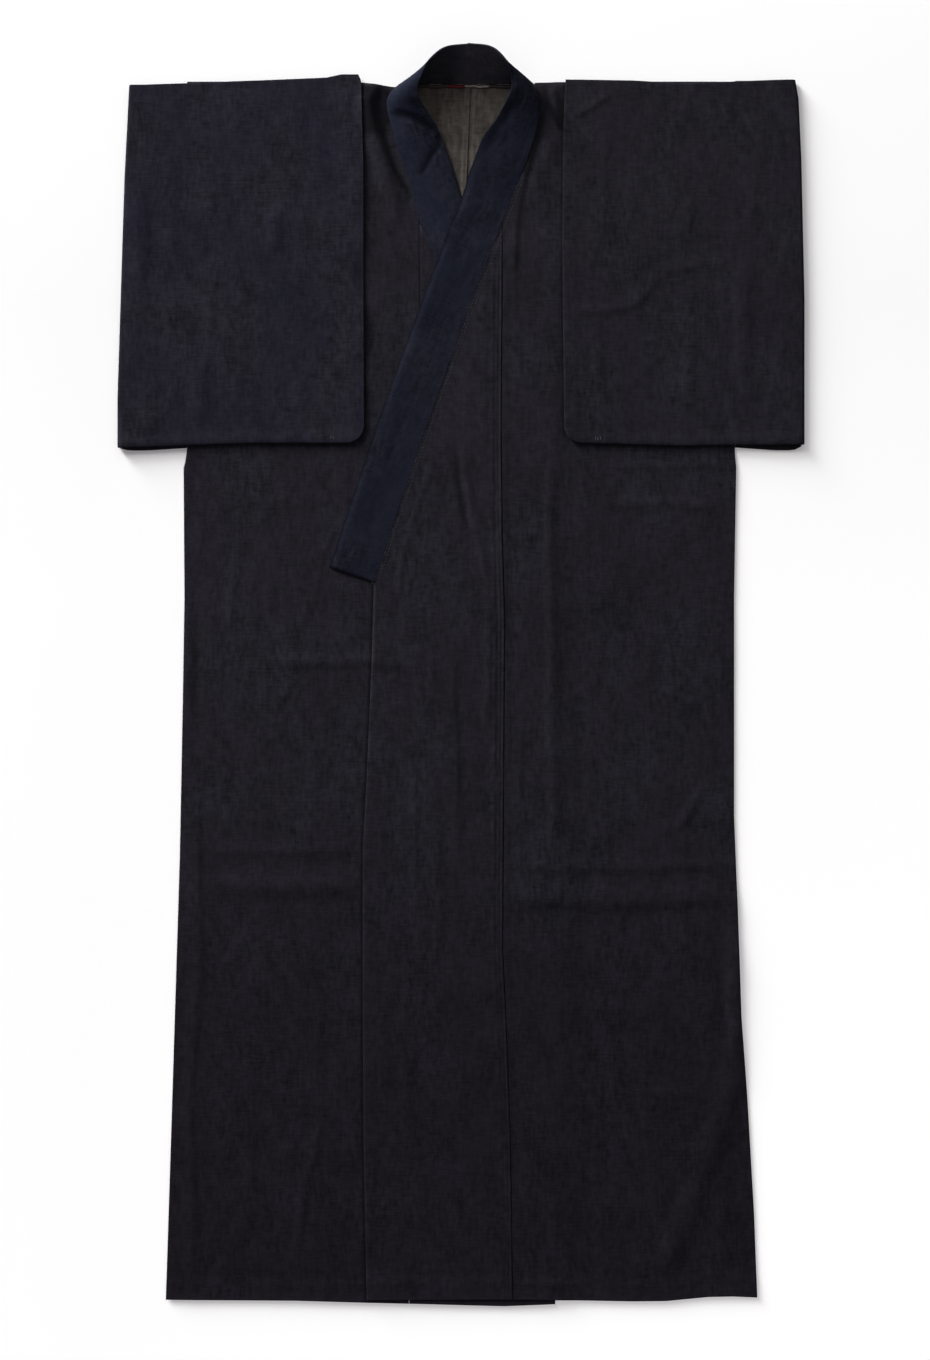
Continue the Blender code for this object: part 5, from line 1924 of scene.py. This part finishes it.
    @staticmethod
    def by_half(over: Sequence[Crease], under: Sequence[Crease], points: Array) -> Array:
        """The summed height of the creases of the left half, which lies on top, and of the right half."""
        left, right = np.split(points, [len(points) // 2])
        return np.concatenate([relief_of(over, left[..., 0], left[..., 1]),
                               relief_of(under, right[..., 0], right[..., 1])])

    def relief(self, points: Array, length: Array, to_sewn: Array) -> Array:
        """Creases, waves, and gathers beside the sewn edge.

        Args:
            points: The strip's points.
            length: Their places along it.
            to_sewn: Their distances to the sewn edge.

        Returns:
            The height to add at each point.
        """
        height = self.by_half(self.over_creases, self.under_creases, points)
        high, wave = self.slack
        height = height + high * ripple(length, to_sewn * 2.0, wave, 71)
        high, spacing = self.gather
        return height + high * puckers(length, spacing, 72) * (1 - ease(*self.gather_band, to_sewn))

    def thickness(self, to_sewn: Array, to_free: Array, end: Array, on_front: Array) -> tuple[Array, Array]:
        """How thin the wall is: pressed flat on the fronts, and rounded at its edges.

        Args:
            to_sewn: Distances to the sewn edge.
            to_free: Distances to the free edge.
            end: Distances to the nearer end.
            on_front: 0 at the nape and 1 on the fronts.

        Returns:
            The share of the thickness that pressing leaves, and that it and the rounding leave.
        """
        thin = self.pressed
        for (least, over), distance in ((self.sewn_taper, to_sewn), (self.free_taper, to_free)):
            thin = thin * (least + (1 - least) * ease(0.0, over, distance))
        thin = 1 + (thin - 1) * on_front
        least, radius = self.sewn_round
        round_off = rounded(np.minimum(to_free, end), self.free_round)
        round_off = np.minimum(round_off, rounded(to_sewn, radius) * (1 - least) + least)
        return thin, (self.edge_share + (1 - self.edge_share) * round_off) * thin

    def marks_and_painted_light(self, points: Array, to_sewn: Array, to_free: Array, end: Array, on_front: Array) -> Array:
        """Rubbing at the nape and ends, painted shade and a painted highlight by the free edge on the fronts.

        Args:
            points: The strip's points.
            to_sewn: Distances to the sewn edge.
            to_free: Distances to the free edge.
            end: Distances to the nearer end.
            on_front: 0 at the nape and 1 on the fronts.

        Returns:
            The marks and painted light at each point.
        """
        at_nape, below = self.free_edge_rub_and_painted_light
        light, *light_band = self.sewn_light
        dark, *dark_band = self.free_dark
        marks_and_painted_light = (at_nape + (below - at_nape) * on_front) * bell_falloff(to_free, self.free_reach)
        marks_and_painted_light = marks_and_painted_light + self.end_rub.at(end) + on_front * self.row_painted_highlight.at(to_free)
        marks_and_painted_light = marks_and_painted_light + on_front * (light * ease(*light_band, to_sewn) - dark * ease(*dark_band, to_sewn))
        return marks_and_painted_light - self.by_half(self.over_painted_shades, self.under_painted_shades, points) / MM

    def build(self, finishes: Finishes) -> Object:
        """Makes the strip. Where it is pressed, its lower skin stays where it lies.

        Args:
            finishes: The robe's materials.

        Returns:
            The piece.
        """
        points, share = self.centre_surface()
        rows, columns = points.shape[:2]
        normal = normals_of(points)
        facing = np.sign(normal[rows // 4, columns // 2, 2])
        normal = normal * facing
        to_sewn, to_free = (np.tile(part * self.width, (rows, 1)) for part in (share, 1 - share))
        step = np.linalg.norm(np.diff(points[:, columns // 2], axis=0), axis=1)
        length = np.concatenate([[0.0], np.cumsum(step)])[:, None] + 0 * to_sewn
        end = np.minimum(length, length[-1] - length)
        on_front = ease(*self.pressed_from, points[..., 1])
        thin, reach = self.thickness(to_sewn, to_free, end, on_front)
        half = normal * (self.wall / 2)
        middle = points + normal * self.relief(points, length, to_sewn)[..., None]
        middle, reach = middle - half * (1 - thin)[..., None], half * reach[..., None]
        marks_and_painted_light = self.marks_and_painted_light(points, to_sewn, to_free, end, on_front)
        self.seam_line, self.seam_length = (middle + reach)[:, 0, :2].T, length[:, 0]
        skins = Skins(middle + reach, middle - reach, to_sewn + self.cloth_shift, length, marks_and_painted_light)
        both = (finishes[Tone.COLLAR], finishes[Tone.COLLAR_INSIDE])
        return dressed(wall_object("collar_strip", skins, facing > 0, *both), "collar")


@dataclass
class NeckTape:
    """The stay tape inside the back neck: a low ribbed band with an uneven edge.

    shift moves it off its solid. waves are the (height, length, phase) of its edge.
    """

    length: float = 0.112
    width: float = 0.0046
    height: float = 0.0012
    shift: Pair = (-0.003, 0.0014)
    points: tuple[int, int] = (260, 9)
    waves: Rows3 = ((0.00045, 0.027, 0.0), (0.00025, 0.0113, 1.0))
    ribs: Pair = (0.00015, 0.009)
    crown_round: Pair = (0.5, 0.0009)
    core: EdgeMark = EdgeMark(1.0, 0.58, 0.24)

    def build(self, finishes: Finishes) -> Object:
        """Makes the tape: a rounded section plus small ribs along it.

        Args:
            finishes: The robe's materials.

        Returns:
            The piece.
        """
        low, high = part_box("neck_tape")
        lengths, widths = self.points
        along = np.linspace(-self.length / 2, self.length / 2, lengths)[:, None]
        share = np.linspace(0.0, 1.0, widths)[None, :]
        wave = sum(rise * np.sin(along * 2 * np.pi / run + phase) for rise, run, phase in self.waves)
        x = (low.x + high.x) / 2 - ORIGIN[0] + self.shift[0] + along + 0 * share
        y = high.y - ORIGIN[1] + self.shift[1] - self.width * share + wave
        least, radius = self.crown_round
        crown = rounded(np.minimum(share, 1 - share) * self.width, radius)
        crown = self.height * (least + (1 - least) * crown)
        rise, run = self.ribs
        foot = WALL.ply + WALL.gap + 0 * x
        outer = np.stack([x, y, foot + crown + rise * np.sin(along * 2 * np.pi / run)], axis=-1)
        skins = Skins(outer, np.stack([x, y, foot], axis=-1), x, y, self.core.at(share + 0 * x))
        made = wall_object("neck_stay_tape", skins, True, *(finishes[Tone.TAPE],) * 2)
        return dressed(made, "neck_tape")


# ---------------------------------------------------------------- sewing
@dataclass(frozen=True)
class Stitch:
    """A short stitch: a six-sided grain of thread, bowed up in the middle.

    rings are the (place, radius) of its rings of points, as shares of its length and half its width.
    """

    length: float
    width: float
    rings: Rows = ((-0.5, 0.35), (-0.28, 1.0), (0.28, 1.0), (0.5, 0.35))
    flat: float = 0.7
    bow: float = 0.6

    def rows(self, name: str, centres: Array, along: Array, finish: Material) -> Object:
        """Many of these stitches in one mesh.

        Args:
            name: The object's name.
            centres: The middle of each stitch, (n, 3).
            along: Its direction, level and of length 1, (n, 3).
            finish: Its material.

        Returns:
            The object.
        """
        side = np.cross([0.0, 0.0, 1.0], along)
        up = np.cross(along, side)
        turn = np.radians(np.arange(0, 360, 60))
        place, radius = np.array(self.rings).T[:, :, None]
        radius = radius * self.width / 2
        rise = radius * np.sin(turn) * self.flat + (0.25 - place**2) * self.width * self.bow
        points = centres[:, None, :]
        shares = (place * self.length + 0 * turn, radius * np.cos(turn), rise)
        for way, share in zip((along, side, up), shares):
            points = points + way[:, None, :] * share.ravel()[None, :, None]
        ring = np.arange(6)
        after = (ring + 1) % 6
        quads = [np.stack([ring, after, after + 6, ring + 6], axis=1) + 6 * start for start in range(3)]
        caps = [[0, 3, 2, 1], [0, 5, 4, 3], [18, 19, 20, 21], [18, 21, 22, 23]]
        shape = np.concatenate([*quads, caps])
        faces = (shape[None] + 24 * np.arange(len(centres))[:, None, None]).reshape(-1, 4)
        flat = points.reshape(-1, 3)
        made = fill_mesh(name, flat, faces, np.zeros(len(faces)), flat[:, :2], np.zeros(len(flat)), (finish,))
        return made


@dataclass
class Sewing:
    """Stitches that show: two rows beside the collar's sewn edge, and the bars at the wrist corners.

    beside gives each row's distance from that edge and its first stitch's place, and rows_end its last's.
    """

    pitch: float = 0.0042
    stitch: Stitch = Stitch(0.0027, 0.00048)
    beside: Rows = ((0.0010, 0.004), (0.0047, 0.0058))
    rows_end: float = 0.500
    ahead: float = 0.001
    row_rise: float = 0.0001
    bar_stitch: Stitch = Stitch(0.0044, 0.0007)
    bar_rise: float = 0.00045
    bar_places: dict[str, Rows] = field(default_factory=lambda: {
        "right": [(-0.1535, -0.4205), (-0.1505, -0.4212)],
        "left": [(0.1585, -0.4215), (0.1612, -0.4222), (0.1642, -0.4214)],
    })

    def collar_rows(self, collar: Collar, finish: Material) -> Object:
        """Two rows on the left front, beside the sewn edge of the collar's over half.

        Args:
            collar: The collar, already built.
            finish: The thread.

        Returns:
            The stitches.
        """
        found = []
        for offset, start in self.beside:
            at = np.arange(start, self.rows_end, self.pitch)
            place, ahead = (
                np.column_stack([np.interp(value, collar.seam_length, line) for line in collar.seam_line])
                for value in (at, at + self.ahead))
            along = ahead - place
            along = along / np.linalg.norm(along, axis=1, keepdims=True)
            place = place + offset * np.stack([along[:, 1], -along[:, 0]], axis=1)
            x, y = place.T
            top = PLAN.front_top(LEFT, x, y) + SURFACE.relief(LEFT, x, y, True) + self.row_rise
            found.append((np.column_stack([place, top]), np.column_stack([along, 0 * x])))
        centre, along = (np.concatenate([part[k] for part in found]) for k in range(2))
        return self.stitch.rows("collar_stitches", centre, along, finish)

    def bar(self, side: SideCut, finish: Material) -> Object:
        """Short upright bars of thread near the lower wrist corner of a sleeve.

        Args:
            side: The sleeve's side.
            finish: The thread.

        Returns:
            The bars.
        """
        place = np.array(self.bar_places[side.name])
        sleeve = Sleeve(side)
        top = PLAN.front_top(side, *place.T) + sleeve.air + 2 * sleeve.half
        centre = np.column_stack([place, top + self.bar_rise])
        along = np.tile([0.0, 1.0, 0.0], (len(place), 1))
        return self.bar_stitch.rows("wrist_bar_" + side.name, centre, along, finish)


# ---------------------------------------------------------------- the robe and its surroundings
@dataclass
class Robe:
    """All the pieces of the robe.

    cuts gives each piece's flat width, length and area of what shows of its cut, how it is held, and what
    it rests on. sewn_on gives what is sewn onto it.
    """

    finishes: Finishes
    cuts: dict[str, tuple[float, float, float, str, tuple[str, ...]]] = field(default_factory=lambda: {
        "body_length_right": (0.345, 2.90, 0.895, "folded", ("floor",)),
        "body_length_left": (0.345, 2.90, 0.895, "folded", ("floor", "overlap_panel_right")),
        "overlap_panel_right": (0.175, 1.28, 0.186, "laid", ("body_length_right",)),
        "overlap_panel_left": (0.175, 1.28, 0.186, "laid", ("overlap_panel_right",)),
        "sleeve_right_cloth": (0.37, 0.86, 0.315, "folded", ("floor", "body_length_right")),
        "sleeve_left_cloth": (0.37, 0.86, 0.315, "folded", ("floor", "body_length_left")),
        "collar_strip": (0.061, 1.52, 0.092, "folded", ("body_length_right", "overlap_panel_left")),
    })
    sewn_on: dict[str, str] = field(default_factory=lambda: {
        "body_length_right": "neck_stay_tape", "collar_strip": "collar_stitches",
        "sleeve_right_cloth": "wrist_bar_right", "sleeve_left_cloth": "wrist_bar_left",
    })

    def build(self) -> list[Object]:
        """Returns:
            The pieces.
        """
        collar, sewing, made = Collar(), Sewing(), []
        for side in (RIGHT, LEFT):
            made += [part(side).build(self.finishes) for part in (BodyLength, OverlapPanel, Sleeve)]
        made += [collar.build(self.finishes), NeckTape().build(self.finishes)]
        made.append(sewing.collar_rows(collar, self.finishes[Tone.SEAM_THREAD]))
        made += [sewing.bar(side, self.finishes[Tone.BAR_THREAD]) for side in (RIGHT, LEFT)]
        for piece in made:
            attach(piece, "root")
            cloth = sum(face.area for face in piece.data.polygons) / 2
            log.info("%s: %d faces, %.4f m2 of cloth", piece.name, len(piece.data.polygons), cloth)
        return made


@dataclass(frozen=True)
class Lamp:
    """A square soft light that faces the middle of the robe."""

    name: str
    place: Triple
    side: float
    power: float

    def build(self) -> None:
        """Puts the lamp in the scene."""
        data = bpy.data.lights.new(self.name, "AREA")
        data.energy, data.size = self.power, self.side
        made = placed(self.name, data)
        made.location = self.place
        made.rotation_euler = (-Vector(self.place)).to_track_quat("-Z", "Y").to_euler()


@dataclass
class Studio:
    """A pale floor, soft light from the upper left, and a camera straight above.

    view is the size of what the camera sees, and plan_centre where the plan's middle lies in it, in steps
    of pixel.
    """

    paper: Material
    height: float = 2.4
    pixel: float = 0.00118
    view: tuple[int, int] = (930, 1360)
    plan_centre: Pair = (461.0, 82.0)
    sensor: float = 24.0
    floor_level: float = -0.0004
    floor_side: float = 9.0
    surround: Colour = (1.0, 0.95, 0.99, 1.0)
    surround_power: float = 0.28
    lamps: tuple[Lamp, ...] = (
        Lamp("low_key", (-5.76, 6.93, 2.0), 2.8, 1358.0),
        Lamp("key", (-3.33, 4.0, 3.0), 2.0, 213.0),
        Lamp("head", (0.2, 2.3, 1.3), 1.4, 9.0),
    )

    def floor(self) -> None:
        """A matt white floor just under the robe."""
        side = self.floor_side / 2
        corners = [(-side, -side), (side, -side), (side, side), (-side, side)]
        mesh = bpy.data.meshes.new("floor")
        mesh.from_pydata([(x, y, self.floor_level) for x, y in corners], [], [(0, 1, 2, 3)])
        mesh.materials.append(self.paper)
        placed("floor", mesh)

    def light(self) -> None:
        """Two large keys from the upper left, one low, a weak one above the collar, and a pale surround."""
        world = bpy.data.worlds.new("studio")
        world.use_nodes = True
        background = world.node_tree.nodes["Background"]
        background.inputs["Color"].default_value = self.surround
        background.inputs["Strength"].default_value = self.surround_power
        bpy.context.scene.world = world
        for lamp in self.lamps:
            lamp.build()

    def camera(self) -> None:
        """A camera straight above the middle of the view, which fits the view upright."""
        data = bpy.data.cameras.new("camera")
        wide, tall = self.view
        data.sensor_fit = "VERTICAL"
        data.sensor_height = self.sensor
        data.lens = self.sensor * self.height / (tall * self.pixel)
        made = placed("camera", data)
        across, down = self.plan_centre
        made.location = ((wide / 2 - across) * self.pixel + ORIGIN[0],
                         (down - tall / 2) * self.pixel + ORIGIN[1], self.height)
        bpy.context.scene.camera = made

    def build(self) -> None:
        """Sets up the floor, the light, the camera and plain colour handling."""
        self.floor()
        self.light()
        self.camera()
        bpy.context.scene.view_settings.view_transform = "Standard"


ORIGIN = (0.0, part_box("body_left")[1].y, 0.0)


def main() -> None:
    logging.basicConfig(level=logging.INFO, format="%(name)s: %(message)s")
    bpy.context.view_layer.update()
    finishes = make_finishes()
    Studio(finishes[Tone.PAPER]).build()
    pieces = Robe(finishes).build()
    log.info("%d pieces", len(pieces))


if __name__ == "__main__":
    main()
